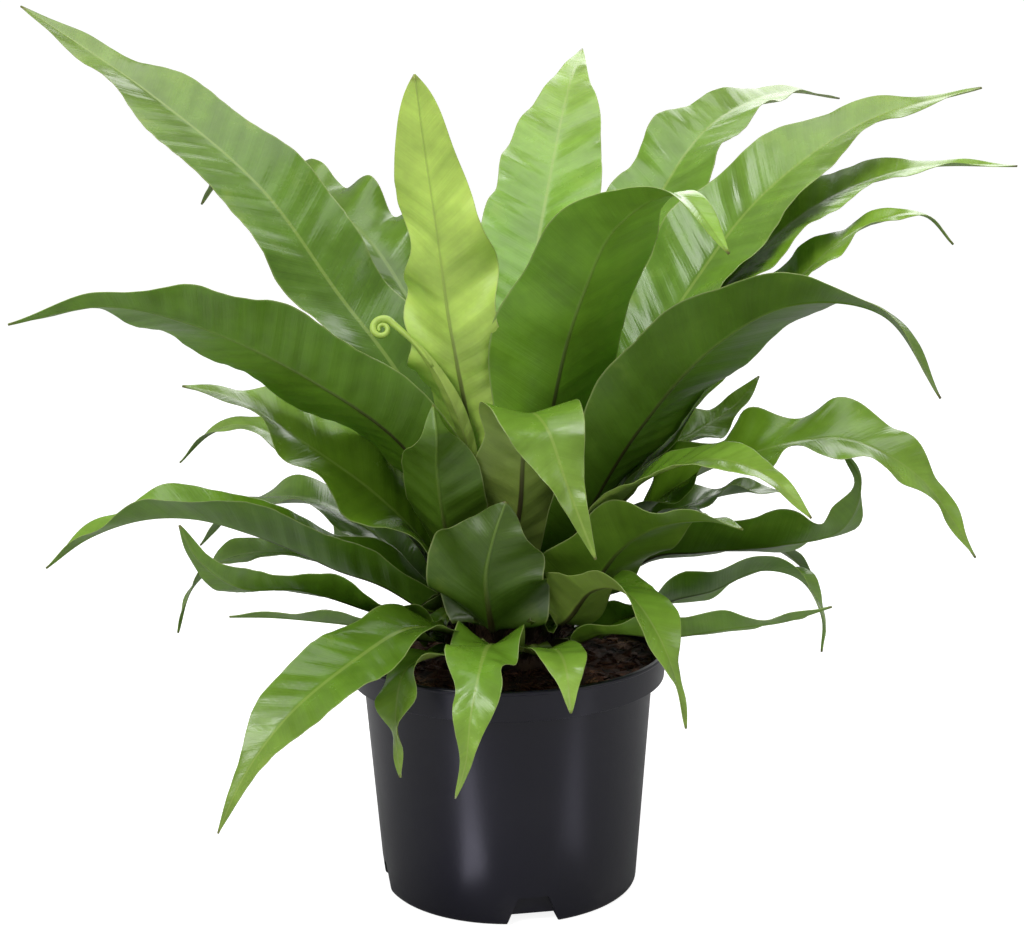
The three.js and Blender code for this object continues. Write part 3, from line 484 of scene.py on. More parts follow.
def swept(path, radii, sides):
    """A closed tube round a path, with a radius for each of its points."""
    path = np.asarray(path, float)
    tangent = np.gradient(path, axis=0)
    tangent /= np.linalg.norm(tangent, axis=1, keepdims=True)
    level = np.cross(tangent, [0.13, 0.21, 0.97])
    level /= np.linalg.norm(level, axis=1, keepdims=True)
    other = np.cross(tangent, level)
    points = []
    for at, first, second, radius in zip(path, level, other, radii):
        for side in range(sides):
            angle = 2 * math.pi * side / sides
            points.append(tuple(at + radius * (first * math.cos(angle) + second * math.sin(angle))))
    faces = []
    for ring in range(len(path) - 1):
        for side in range(sides):
            after = (side + 1) % sides
            low = ring * sides
            faces.append((low + side, low + after, low + sides + after, low + sides + side))
    faces.append(tuple(reversed(range(sides))))
    end = (len(path) - 1) * sides
    faces.append(tuple(range(end, end + sides)))
    return points, faces


def coir_fibre(rng):
    """One curved coir fibre lying on the mix."""
    reach = rng.uniform(CROWN_CLEARANCE + 4, top_radius - 14)
    turn = rng.uniform(0, 2 * math.pi)
    start = np.array([reach * math.cos(turn), reach * math.sin(turn)])
    heading = rng.uniform(0, 2 * math.pi)
    bend = rng.uniform(-FIBRE_BEND, FIBRE_BEND)
    length = rng.uniform(*FIBRE_LENGTH)
    path = [start]
    for step in range(FIBRE_STEPS):
        way = heading + bend * step / FIBRE_STEPS
        path.append(path[-1] + length / FIBRE_STEPS * np.array([math.cos(way), math.sin(way)]))
    path = np.array(path)
    path *= np.minimum(1, (top_radius - 1) / np.maximum(1, np.linalg.norm(path, axis=1)))[:, None]
    arch = np.sin(np.linspace(0, math.pi, len(path)))
    lift = FIBRE_LIFT[0] + FIBRE_LIFT[1] * arch * rng.uniform(0, 1)
    height = soil_height(path[:, 0], path[:, 1]) + lift
    return swept(np.column_stack([path, height]), np.full(len(path), FIBRE_RADIUS), 4)


soil_rng = np.random.default_rng(SOIL_SEED)
chips = joined_mesh("bark_chips", [bark_chip(soil_rng) for _ in range(CHIP_COUNT)], smooth=False)
fibres = joined_mesh("coir_fibres", [coir_fibre(soil_rng) for _ in range(FIBRE_COUNT)], smooth=True)

soil_material, soil_tree, soil_shader = new_material("soil_bark")
wire = Wiring(soil_tree)
spot = wire.place()
clod = wire.noise(spot, **SOIL_CLODS)
crumb = wire.noise(spot, **SOIL_CRUMBS)
patch = wire.noise(spot, **SOIL_PATCHES)
bark = wire.mix(wire.ramp(clod, 0.35, 0.68), BARK_DARK, BARK_RED)
pale_share = wire.math("MULTIPLY", wire.ramp(patch, 0.6, 0.7), wire.ramp(crumb, 0.4, 0.6))
bark = wire.mix(pale_share, bark, BARK_PALE)
wire.put(soil_shader.inputs["Base Color"], bark)
wire.put(soil_shader.inputs["Roughness"], wire.ramp(clod, 0.2, 0.8, 0.95, 0.72))
soil_relief = wire.math("MULTIPLY_ADD", crumb, 0.5, clod)
wire.put(soil_shader.inputs["Normal"], wire.bump(soil_relief, **SOIL_RELIEF))
for piece in (soil, chips, fibres):
    piece.data.materials.append(soil_material)
    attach(piece, "root")
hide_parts("soil")

# The crown. The fern's short upright rootstock, a blunt dome that just clears the mix. It is closely covered
# with narrow, papery, dark brown scales, and every frond's stalk grows out of it.

CROWN_RADIUS = 31
CROWN_CENTRE_HEIGHT = 141
CROWN_FOOT_RADIUS = 20
CROWN_FOOT_HEIGHT = 96
CROWN_SKIN = 0.8
CROWN_SIDES = 72
DOME_FOOT = 96
DOME_STEP = 6
SCALE_COUNT = 640
SCALES_REACH = 1.05
SCALE_LENGTH = (6, 12)
SCALE_WIDTH = 1.7
SCALE_OUTLINE = ((0, 0.7), (0.35, 1), (0.7, 0.6), (1, 0.06))
SCALE_LEAN = 0.35
SCALE_LIFT = 0.28
SCALE_CURVE = 1.7
SCALE_SUNK = 0.4
SCALE_CLEAR = 0.6
SCALE_ABOVE = 0.35
SCALE_BELOW = 0.12
SCALE_SEED = 3
GOLDEN_ANGLE = 2.39996
SCALE_DARK = (0.012, 0.0055, 0.003, 1)
SCALE_TAN = (0.085, 0.043, 0.019, 1)
SCALE_FLECKS = dict(scale=260, detail=3, roughness=0.6)
SCALE_TUFTS = dict(scale=60, detail=2, roughness=0.5)
SCALE_RELIEF = dict(strength=0.6, distance=0.0006)

core_radius = CROWN_RADIUS - CROWN_SKIN
dome = [(0, CROWN_FOOT_HEIGHT), (CROWN_FOOT_RADIUS, CROWN_FOOT_HEIGHT)]
for down in range(DOME_FOOT, 0, -DOME_STEP):
    dip = math.radians(down)
    dome.append((core_radius * math.sin(dip), CROWN_CENTRE_HEIGHT + core_radius * math.cos(dip)))
dome.append((0, CROWN_CENTRE_HEIGHT + core_radius))
crown = turned("crown_core", dome, CROWN_SIDES)


def crown_scale(place, rng):
    """One papery scale, lying up the dome and lifting at its point."""
    down = math.acos(1 - (place + 0.5) / SCALE_COUNT * SCALES_REACH)
    turn = place * GOLDEN_ANGLE
    radial = np.array([math.sin(down) * math.cos(turn), math.sin(down) * math.sin(turn), math.cos(down)])
    upward = np.array([-math.cos(down) * math.cos(turn), -math.cos(down) * math.sin(turn), math.sin(down)])
    side = np.cross(radial, upward)
    lean = rng.normal(0, SCALE_LEAN)
    heading = upward * math.cos(lean) + side * math.sin(lean)
    spread = np.cross(radial, heading)
    foot = radial * (core_radius - SCALE_SUNK) + np.array([0, 0, CROWN_CENTRE_HEIGHT])
    length = rng.uniform(*SCALE_LENGTH)
    points = []
    for t, width in SCALE_OUTLINE:
        at = foot + heading * length * t + radial * (SCALE_CLEAR + length * SCALE_LIFT * t**SCALE_CURVE)
        half = spread * SCALE_WIDTH / 2 * width
        points += [at - half, at + radial * SCALE_ABOVE, at + half, at - radial * SCALE_BELOW]
    faces = [(0, 1, 2, 3), (15, 14, 13, 12)]
    for ring in range(3):
        for corner in range(4):
            after = (corner + 1) % 4
            faces.append((ring * 4 + after, ring * 4 + corner, ring * 4 + corner + 4, ring * 4 + after + 4))
    return points, faces


scale_rng = np.random.default_rng(SCALE_SEED)
scales = joined_mesh("crown_scales", [crown_scale(i, scale_rng) for i in range(SCALE_COUNT)], smooth=False)
scale_material, scale_tree, scale_shader = new_material("crown_scale")
wire = Wiring(scale_tree)
spot = wire.place()
fleck = wire.noise(spot, **SCALE_FLECKS)
tuft = wire.noise(spot, **SCALE_TUFTS)
wire.put(scale_shader.inputs["Base Color"], wire.mix(wire.ramp(tuft, 0.35, 0.7), SCALE_DARK, SCALE_TAN))
wire.put(scale_shader.inputs["Roughness"], wire.ramp(fleck, 0.2, 0.8, 0.6, 0.85))
wire.put(scale_shader.inputs["Normal"], wire.bump(fleck, **SCALE_RELIEF))
for piece in (crown, scales):
    piece.data.materials.append(scale_material)
    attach(piece, "root")
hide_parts("crown")

# The fronds. Undivided strap-shaped blades of thin, glossy leaf tissue on a stout midrib, with waved margins
# and shallow pleats that follow the veins. The newest stand upright in the middle of the rosette and the
# oldest arch out over the rim. Each stalk grows out of the crown.

RIB_THICKNESS = 1.5
BLADE_EDGE = 0.7
BLADE_HALF = 0.9
STALK_HALF_WIDTH = 3.2
STALK_THICKNESS = 4
STALK_SUNK = 7
STALK_RUN = 20
COLLAR = 12
SETTLING_RUN = 50
RIB_RUN = 100
RIB_FALL = 1.5
STATION = 19
FEWEST_STATIONS = 9
MOST_STATIONS = 21
NARROW_BLADE = 46
SEAT_SPACING = 11.5
SEAT_ROUNDS = 60
FOLD_AT_FOOT = 1.25
FOLD_LOST = 0.6
RIB_SOFTNESS = 0.1
RUFFLE_GROWTH = 1.4
RUFFLE_FADE = 0.3
TIP_SPARED = 0.04
PLEAT_SLANT = 0.55
MARGIN_SHIFT = 1.9
MARGIN_WOBBLE = 0.06
WOBBLE_RUN = 17
WANDER = 0.5
WANDER_RUN = 41
TIP_HALF_WIDTH = 0.6
TIP_NARROWING = 0.15
TIP_DRAWN = 0.4
DRAWN_FROM = 0.68
DRAWN_REACH = 0.24
BEND_CLEAR = 1.4
BEND_REACH = 9
BEND_ROUNDS = 30
OWN_PUSH = 0.5
PUSH_BESIDE = 0.125
FACET_SLACK = 0.05
CURVE_STEPS = 200
TANGENT_STEP = 0.0001

# How far down the crown's dome each ring of stalks sits, and how steeply they leave it, in degrees.
RINGS = ((12, 85), (30, 75), (47, 62), (63, 48), (80, 31))

# Newest first. line is the midrib, as (reach, height) or (reach, height, side) along the way that turn
# points. The tone value is how light the green is: partly the frond's own tone and partly painted light
# and shade, darker for fronds that stand in shade and lighter for thin fronds that light comes through.
# wave is how much of the margin's ruffle shows. curls are places where a margin is rolled in, as (side,
# place along the blade, reach, depth), with side 0 for both.
FRONDS = (
    dict(name="crozier", ring=0, turn=-120, age="young", width=20, fold=40, pleat=60, ruffle=1, tone_and_lighting=0.8,
         roll=(0, 10, 30), curls=((0, 0.8, 0.4, 0.45),),
         line=((32, 235), (50, 285), (58, 312, -8), (62, 330, -20), (64, 343, -36))),
    dict(name="frond_upright_left", ring=0, turn=-120, age="young", width=66, flare=2.2, taper=7, drawn=0,
         fold=16, pleat=62, ruffle=7, tone_and_lighting=1.25, wave=1.3, roll=(0, 10, 30),
         curls=((0, 0.9, 0.22, 0.4), (-1, 0.7, 0.05, 0.28), (-1, 0.52, 0.035, 0.25), (0, 0.25, 0.15, 0.2)),
         line=((28, 250), (49, 308), (62, 355), (72, 400), (82, 440), (90, 478))),
    dict(name="frond_upright_back", ring=0, turn=80, age="young", width=74, flare=1.5, fold=14, pleat=48,
         ruffle=5, tone_and_lighting=0.7, curls=((1, 0.72, 0.06, 0.12), (-1, 0.5, 0.08, 0.12)),
         line=((30, 240), (80, 320), (130, 372), (200, 425), (265, 465), (330, 490))),
    dict(name="frond_left_high", ring=1, turn=155, age="young", width=68, flare=0.9, taper=4, fold=14,
         pleat=75, ruffle=7, tone_and_lighting=0.26, wave=0.35, roll=(0, -26, -15),
         line=((30, 240), (70, 300), (110, 350), (160, 410), (235, 465), (330, 520))),
    dict(name="frond_centre_right", ring=1, turn=-50, age="mature", width=80, fold=18, pleat=80, ruffle=5,
         tone_and_lighting=1.3, wave=0.35, roll=(0, -18, 0),
         line=((28, 240), (46, 308), (72, 358, -4), (104, 398, -8), (142, 416, -2), (178, 388))),
    dict(name="frond_back_left", ring=1, turn=126, age="middle", width=62, flare=1.7, fold=16, pleat=60,
         ruffle=8, tone_and_lighting=0.45, wave=0.9, roll=(0, -10, 0),
         line=((35, 255), (80, 320), (140, 372), (215, 400), (315, 415), (365, 385))),
    dict(name="frond_right_high", ring=1, turn=12, age="young", width=74, flare=0.9, fold=20, pleat=70,
         ruffle=6, tone_and_lighting=0.4, wave=0.6, roll=(0, 28, 15),
         line=((35, 230), (70, 290), (110, 350), (155, 405), (215, 445), (290, 465))),
    dict(name="frond_back_right", ring=1, turn=48, age="young", width=66, fold=18, pleat=60, ruffle=6,
         tone_and_lighting=0.45, roll=(0, 5, 10),
         line=((50, 255), (95, 340), (145, 400), (195, 440), (275, 460), (345, 455))),
    dict(name="frond_folded_over", ring=1, turn=-80, age="young", width=58, widest=0.5, taper=1.6, fold=14,
         pleat=70, ruffle=4, tone_and_lighting=0.42, wave=1, roll=(0, 0, 10),
         curls=((-1, 0.5, 0.05, 0.2), (1, 0.56, 0.04, 0.3)),
         line=((40, 230), (58, 270), (80, 297), (104, 292, 5), (120, 265, 12), (135, 228, 24))),
    dict(name="frond_right_broad", ring=1, turn=-28, age="mature", width=76, fold=16, pleat=65, ruffle=6,
         tone_and_lighting=0.5, wave=0.35, roll=(0, -34, -5),
         line=((40, 210), (85, 280), (130, 330), (175, 355), (225, 352), (257, 310))),
    dict(name="frond_left_broad", ring=2, turn=208, age="mature", width=72, flare=0.8, taper=3.5, fold=16,
         pleat=65, ruffle=6, tone_and_lighting=0.9, wave=0.35, roll=(0, 36, 25),
         line=((35, 220), (65, 270), (120, 313), (185, 348), (235, 362), (285, 356))),
    dict(name="frond_right_upper", ring=2, turn=8, age="middle", width=58, fold=18, pleat=55, ruffle=6,
         tone_and_lighting=0.85, roll=(0, 20, 10),
         line=((40, 215), (75, 268), (115, 335), (155, 378), (195, 405), (245, 420), (305, 420))),
    dict(name="frond_left_second", ring=2, turn=196, age="middle", width=76, flare=0.7, fold=14, pleat=55,
         ruffle=8, tone_and_lighting=0.6, roll=(0, -35, -10),
         line=((45, 205), (80, 243), (120, 275), (155, 300), (185, 310))),
    dict(name="frond_trumpet", ring=2, turn=-132, age="mature", width=54, flare=1.4, fold=30, pleat=60,
         ruffle=5, tone_and_lighting=0.4, roll=(0, 20, 60),
         line=((40, 196), (56, 232, 3), (70, 264, 12), (80, 285, 22), (75, 300, 15))),
    dict(name="frond_front_cup", ring=3, turn=-100, age="mature", width=70, widest=0.6, flare=1.0, taper=4,
         fold=22, pleat=36, ruffle=7, tone_and_lighting=0.15, wave=1.4, curls=((0, 0.25, 0.2, -0.2),),
         line=((46, 166), (58, 182), (66, 203), (70, 228, 6), (66, 246, 12))),
    dict(name="frond_right_under", ring=2, turn=1, age="middle", width=48, flare=2.4, fold=16, pleat=50,
         ruffle=5, tone_and_lighting=0.75, roll=(0, 15, 10),
         line=((50, 208), (90, 265), (130, 316), (170, 360), (205, 388), (240, 395), (258, 378))),
    dict(name="frond_left_thin", ring=2, turn=173, age="middle", width=42, fold=14, pleat=50, ruffle=4,
         tone_and_lighting=0.55, roll=(0, -20, 0),
         line=((50, 205), (90, 245), (130, 265), (155, 275), (175, 270), (195, 252))),
    dict(name="frond_right_glossy", ring=2, turn=-22, age="middle", width=62, fold=16, pleat=48, ruffle=5,
         tone_and_lighting=0.7, wave=1.1, roll=(0, 18, 15),
         line=((60, 205), (105, 248), (150, 270), (200, 280), (240, 262), (272, 220))),
    dict(name="frond_right_light", ring=2, turn=-42, age="young", width=44, fold=14, pleat=55, ruffle=4,
         tone_and_lighting=0.6, roll=(0, 12, 10),
         line=((60, 215), (105, 258), (150, 275), (185, 270), (212, 252))),
    dict(name="frond_back_inner", ring=2, turn=100, age="mature", width=64, fold=16, pleat=60, ruffle=7,
         tone_and_lighting=0.5,
         line=((55, 220), (105, 275), (160, 305), (215, 305), (265, 280))),
    dict(name="frond_back_side", ring=2, turn=62, age="mature", width=62, fold=16, pleat=55, ruffle=7,
         tone_and_lighting=0.45, roll=(0, 5, 0),
         line=((55, 210), (110, 262), (170, 288), (230, 285), (285, 250))),
    dict(name="frond_left_long", ring=3, turn=191, age="mature", width=66, flare=0.7, fold=38, pleat=60,
         ruffle=6, tone_and_lighting=0.85, wave=0.45, roll=(0, 6, 4),
         line=((45, 168), (70, 182), (100, 196), (122, 208), (150, 221), (180, 231),
               (210, 232), (240, 223), (264, 207))),
    dict(name="frond_right_curled", ring=3, turn=25, age="mature", width=48, fold=20, pleat=45, ruffle=7,
         tone_and_lighting=0.6, roll=(0, 0, 30),
         line=((55, 200), (95, 245), (130, 262), (155, 275), (172, 292))),
    dict(name="frond_right_middle", ring=3, turn=-40, age="middle", width=64, flare=0.6, fold=18, pleat=50,
         ruffle=7, tone_and_lighting=0.8, roll=(0, -28, -10),
         line=((50, 175), (80, 212), (110, 232), (145, 240), (165, 238))),
    dict(name="frond_right_hooked", ring=3, turn=-16, age="mature", width=60, fold=20, pleat=50, ruffle=7,
         tone_and_lighting=0.8, roll=(0, -34, -20),
         line=((50, 172), (85, 198), (120, 208), (160, 214), (195, 225), (205, 252), (195, 270))),
    dict(name="frond_right_far", ring=3, turn=4, age="mature", width=46, fold=18, pleat=45, ruffle=7,
         tone_and_lighting=0.6,
         line=((50, 178), (85, 215), (120, 230), (150, 234), (170, 232))),
    dict(name="frond_left_twisted", ring=3, turn=207, age="mature", width=42, flare=1.4, fold=16, pleat=50,
         ruffle=6, tone_and_lighting=0.75, roll=(0, 20, 50),
         line=((50, 157), (90, 178), (130, 195), (165, 201), (188, 220), (198, 240))),
    dict(name="frond_left_low", ring=3, turn=176, age="mature", width=34, flare=1.4, fold=16, pleat=50,
         ruffle=5, tone_and_lighting=0.7, roll=(0, -10, 0),
         line=((50, 172), (90, 192), (130, 200), (165, 196), (188, 178), (198, 150))),
    dict(name="frond_left_behind", ring=3, turn=152, age="mature", width=50, flare=1.6, fold=16, pleat=50,
         ruffle=6, tone_and_lighting=0.6, roll=(0, -5, 0),
         line=((50, 172), (95, 205), (140, 220), (185, 212), (222, 182))),
    dict(name="frond_front_right", ring=3, turn=-56, age="young", width=50, flare=1.1, taper=1.6, fold=22,
         pleat=60, ruffle=6, tone_and_lighting=0.6, wave=1, roll=(-10, -18, -10), curls=((0, 0.85, 0.3, 0.2),),
         line=((48, 168, 5), (80, 194, 4), (114, 200, 2), (142, 182, 2), (154, 158, 5), (158, 134, 8))),
    dict(name="frond_back_middle", ring=3, turn=80, age="mature", width=58, fold=14, pleat=60, ruffle=6,
         tone_and_lighting=0.5,
         line=((50, 180), (100, 222), (155, 240), (210, 225), (250, 190))),
    dict(name="frond_left_drooping", ring=4, turn=230, age="young", width=50, flare=1.0, fold=14, pleat=60,
         ruffle=5, tone_and_lighting=0.35, roll=(0, -12, -10), curls=((0, 1.0, 0.3, 0.4), (1, 0.35, 0.08, 0.15)),
         line=((50, 162), (90, 175, 4), (135, 168, 6), (185, 150, 6), (215, 126, 4), (232, 98))),
    dict(name="frond_left_dark", ring=4, turn=210, age="mature", width=42, flare=1.6, fold=16, pleat=45,
         ruffle=5, tone_and_lighting=0.75, roll=(0, 10, 20),
         line=((50, 156), (85, 168), (120, 177), (150, 184), (175, 188))),
    dict(name="frond_front_left", ring=4, turn=-117, age="young", width=34, flare=1.3, fold=14, pleat=38,
         ruffle=5, tone_and_lighting=0.55, wave=1, roll=(0, 20, 20),
         curls=((1, 0.6, 0.06, 0.3), (-1, 0.45, 0.07, 0.25), (0, 0.85, 0.2, 0.3)),
         line=((45, 152, 0), (78, 161, -4), (104, 156, -10), (119, 132, -8), (124, 102, -3))),
    dict(name="frond_front", ring=4, turn=-98, age="young", width=42, flare=0.8, taper=2, fold=14,
         pleat=45, ruffle=6, tone_and_lighting=0.6, wave=1,
         curls=((0, 0.85, 0.25, 0.45), (1, 0.55, 0.05, 0.25), (-1, 0.62, 0.06, 0.2)),
         line=((45, 154), (80, 166), (110, 160), (128, 142, -2), (134, 118, -4), (134, 98, -10))),
    dict(name="frond_front_small", ring=4, turn=-76, age="young", width=30, fold=14, pleat=40, ruffle=4,
         tone_and_lighting=0.7,
         line=((45, 152, 4), (80, 163, 8), (108, 160, 6), (124, 141, 4))),
    dict(name="frond_right_bent", ring=4, turn=-23, age="mature", width=56, flare=1.2, fold=16, pleat=50,
         ruffle=6, tone_and_lighting=1, roll=(0, -20, -10),
         line=((50, 156), (95, 174), (125, 188), (155, 204), (178, 200), (190, 180), (190, 160))),
    dict(name="frond_right_low", ring=4, turn=-36, age="mature", width=50, flare=1.0, fold=16, pleat=45,
         ruffle=6, tone_and_lighting=1, roll=(0, -26, -10),
         line=((50, 154), (80, 162), (115, 168), (150, 178), (185, 188), (212, 200))),
    dict(name="frond_back_low_right", ring=4, turn=34, age="mature", width=56, fold=14, pleat=55, ruffle=6,
         tone_and_lighting=0.45,
         line=((50, 160), (100, 185), (155, 195), (205, 178), (245, 145))),
    dict(name="frond_back_low_left", ring=4, turn=118, age="mature", width=56, fold=14, pleat=55, ruffle=6,
         tone_and_lighting=0.5,
         line=((50, 162), (100, 188), (160, 196), (215, 175), (255, 135))),
    dict(name="frond_back_low_middle", ring=4, turn=72, age="mature", width=54, fold=14, pleat=60,
         ruffle=6, tone_and_lighting=0.45,
         line=((50, 160), (105, 180), (165, 178), (210, 155), (240, 115))),
)


def smooth(t):
    """Eases from 0 to 1."""
    t = np.clip(t, 0, 1)
    return t * t * (3 - 2 * t)


def unit(vectors):
    """The same directions with length 1."""
    return vectors / np.linalg.norm(vectors, axis=-1, keepdims=True)


def out_and_side(turn):
    """The directions out from the axis and sideways."""
    angle = math.radians(turn)
    return np.array([math.cos(angle), math.sin(angle), 0]), np.array([-math.sin(angle), math.cos(angle), 0])


def seat_fronds():
    """Gives every frond its seat on the crown, as near to its own turn as the stalks beside it allow."""
    for index, (down, rise) in enumerate(RINGS):
        members = sorted((f for f in FRONDS if f["ring"] == index), key=lambda f: (f["turn"] + 360) % 360)
        turns = [(f["turn"] + 360) % 360 for f in members]
        least = math.degrees(SEAT_SPACING / (CROWN_RADIUS * math.sin(math.radians(down))))
        for _ in range(SEAT_ROUNDS):
            for spot in range(len(turns)):
                after = (spot + 1) % len(turns)
                short = least - (turns[after] - turns[spot] + 720) % 360
                if short > 0:
                    turns[spot] -= short / 2
                    turns[after] += short / 2
        for frond, turn in zip(members, turns):
            out, side = out_and_side(turn)
            up = np.array([0, 0, 1.0])
            dip = math.radians(down)
            radial = out * math.sin(dip) + up * math.cos(dip)
            frond["foot"] = radial * CROWN_RADIUS + up * CROWN_CENTRE_HEIGHT
            frond["leaving"] = out * math.cos(math.radians(rise)) + up * math.sin(math.radians(rise))
            frond["across"] = side


class Midrib:
    """A smooth curve through points, along which places are found by length."""

    def __init__(self, points):
        points = np.array(points, float)
        before = 2 * points[0] - points[1]
        beyond = 2 * points[-1] - points[-2]
        self.points = np.vstack([before, points, beyond])
        steps = self.spot(np.arange(CURVE_STEPS + 1) / CURVE_STEPS)
        self.lengths = np.concatenate([[0], np.cumsum(np.linalg.norm(np.diff(steps, axis=0), axis=1))])
        self.length = self.lengths[-1]

    def spot(self, t):
        """The curve's point where its parameter is t."""
        spans = len(self.points) - 3
        first = np.minimum(np.floor(t * spans).astype(int), spans - 1)
        t = (t * spans - first)[:, None]
        a, b, c, d = (self.points[first + i] for i in range(4))
        gaps = [((q - p) ** 2).sum(1)[:, None] ** 0.25 for p, q in ((a, b), (b, c), (c, d))]
        slope_b = ((b - a) / gaps[0] - (c - a) / (gaps[0] + gaps[1]) + (c - b) / gaps[1]) * gaps[1]
        slope_c = ((c - b) / gaps[1] - (d - b) / (gaps[1] + gaps[2]) + (d - c) / gaps[2]) * gaps[1]
        bend = 3 * (c - b) - 2 * slope_b - slope_c
        turn = 2 * (b - c) + slope_b + slope_c
        return b + t * (slope_b + t * (bend + t * turn))

    def at(self, run):
        """The points and directions of the curve at lengths along it."""
        t = np.interp(run, self.lengths, np.arange(CURVE_STEPS + 1) / CURVE_STEPS)
        ahead = self.spot(np.minimum(t + TANGENT_STEP, 1))
        back = self.spot(np.maximum(t - TANGENT_STEP, 0))
        return self.spot(t), unit(ahead - back)


def midrib_of(frond):
    """A frond's midrib: straight out of its socket, then through the points of its line."""
    out, side = out_and_side(frond["turn"])
    points = [frond["foot"] + frond["leaving"] * run for run in (-STALK_SUNK, 0, STALK_RUN)]
    for reach, height, *sideways in frond["line"]:
        points.append(out * reach + side * (sideways[0] if sideways else 0) + np.array([0, 0, height]))
    return Midrib(points)


def along(values, u):
    """A value that runs smoothly from the foot's through the middle's to the tip's."""
    foot, middle, tip = values
    low = foot + (middle - foot) * smooth(u * 2)
    high = middle + (tip - middle) * smooth(u * 2 - 1)
    return np.where(u < 0.5, low, high)


def share_of_blade(frond, run):
    """The place along the blade, from 0 at the collar to 1 at the tip."""
    return np.clip((run - COLLAR) / (frond["midrib"].length - COLLAR), 0, 1)


def waved(u):
    """How much of the waves shows: none at the collar and little at the tip."""
    return (smooth(u / RUFFLE_FADE) * smooth((1 + TIP_SPARED - u) / RUFFLE_FADE))[:, None]


def stoutness(run):
    """How stout the rib is: 1 at the collar and 0 where the blade's own rib is left."""
    return (1 - np.clip((run - COLLAR) / RIB_RUN, 0, 1)) ** RIB_FALL


def half_width(frond, u):
    """Half of the blade's width where its share is u."""
    widest = frond.get("widest", 0.5)
    full = frond["width"] / 2
    rising = np.sin(math.pi / 2 * np.clip(u / widest, 0, 1)) ** frond.get("flare", 1.1)
    t = np.clip((u - widest) / (1 - widest), 0, 1)
    drawn = frond.get("drawn", TIP_DRAWN) * smooth((u - DRAWN_FROM) / DRAWN_REACH)
    falling = full * (1 - t ** frond.get("taper", 3)) * (1 - TIP_NARROWING * t) * (1 - drawn)
    rising = STALK_HALF_WIDTH + (full - STALK_HALF_WIDTH) * rising
    return np.where(u < widest, rising, falling + TIP_HALF_WIDTH)


def blade_points(frond, run, v, fuller=1, calm=1):
    """The blade's middle surface at lengths along the midrib and at places from -1 to 1 across it."""
    at, tangent = frond["midrib"].at(run)
    u = share_of_blade(frond, run)
    settled = smooth((run - COLLAR) / SETTLING_RUN)[:, None]
    side = frond["across"] * (1 - settled) + out_and_side(frond["turn"])[1] * settled
    across = unit(side - (side * tangent).sum(1)[:, None] * tangent)
    normal = np.cross(tangent, across)
    roll = np.radians(along(frond.get("roll", (0, 0, 0)), u))[:, None]
    outward = across * np.cos(roll) + normal * np.sin(roll)
    upward = normal * np.cos(roll) - across * np.sin(roll)

    wide = np.abs(v)
    shift = np.where(v < 0, MARGIN_SHIFT, 0)
    shown = waved(u)
    runs = run[:, None]
    wobble = 1 + MARGIN_WOBBLE * shown * np.sin(runs / WOBBLE_RUN + 2 * shift)
    half = (half_width(frond, u) * fuller)[:, None] * wobble
    wander = WANDER * np.sin(runs / WANDER_RUN)
    wave = np.sin(2 * math.pi * (runs - PLEAT_SLANT * half * wide) / frond["pleat"] + wander + shift)
    fold = (math.radians(frond["fold"]) * (FOLD_AT_FOOT - FOLD_LOST * u))[:, None]
    bowed = np.hypot(wide, RIB_SOFTNESS) - RIB_SOFTNESS
    ruffle = frond["ruffle"] * np.reshape(calm, (-1, 1))
    lift = half * bowed * np.sin(fold) + ruffle * shown * wide**RUFFLE_GROWTH * wave
    spread = (half * v * np.cos(fold))[..., None]
    return at[:, None] + outward[:, None] * spread + upward[:, None] * lift[..., None]


def coarse_grid(frond):
    """A frond as few stations with few points across, as its solid has it."""
    length = frond["midrib"].length
    columns = np.array([-1, -0.5, 0, 0.5, 1] if frond["width"] > NARROW_BLADE else [-1, 0, 1])
    steps = int(min(MOST_STATIONS, max(FEWEST_STATIONS, math.floor(length / STATION + 0.5))))
    run = np.concatenate([[0], COLLAR + (length - COLLAR) * np.arange(steps) / (steps - 1)])
    rows = blade_points(frond, run, np.tile(columns, (len(run), 1)))
    thickness = np.where(np.abs(columns) == 1, BLADE_EDGE, BLADE_HALF) * np.ones((len(run), 1))
    thickness[:, len(columns) // 2] = RIB_THICKNESS + (STALK_THICKNESS - RIB_THICKNESS) * stoutness(run)
    count = len(columns)
    first = (np.arange(len(run) - 1)[:, None] * count + np.arange(count - 1)).ravel()
    near = np.stack([first, first + count, first + count + 1], 1)
    far = np.stack([first, first + count + 1, first + 1], 1)
    return {
        "run": run,
        "columns": columns,
        "start": rows.copy(),
        "points": rows.reshape(-1, 3),
        "thickness": thickness.ravel(),
        "free": smooth((run - COLLAR) / SETTLING_RUN),
        "facets": np.stack([near, far], 1).reshape(-1, 3),
    }


def keep_largest(pushes, places, pushed):
    """Notes pushes on points, where they are larger than what is there."""
    size = (pushed**2).sum(1)
    order = np.argsort(size, kind="stable")
    places, pushed, size = places[order], pushed[order], size[order]
    latest = np.zeros(len(pushes), int) - 1
    latest[places] = np.arange(len(places))
    touched = np.nonzero(latest >= 0)[0]
    best = latest[touched]
    larger = size[best] > (pushes[touched] ** 2).sum(1)
    pushes[touched[larger]] = pushed[best[larger]]


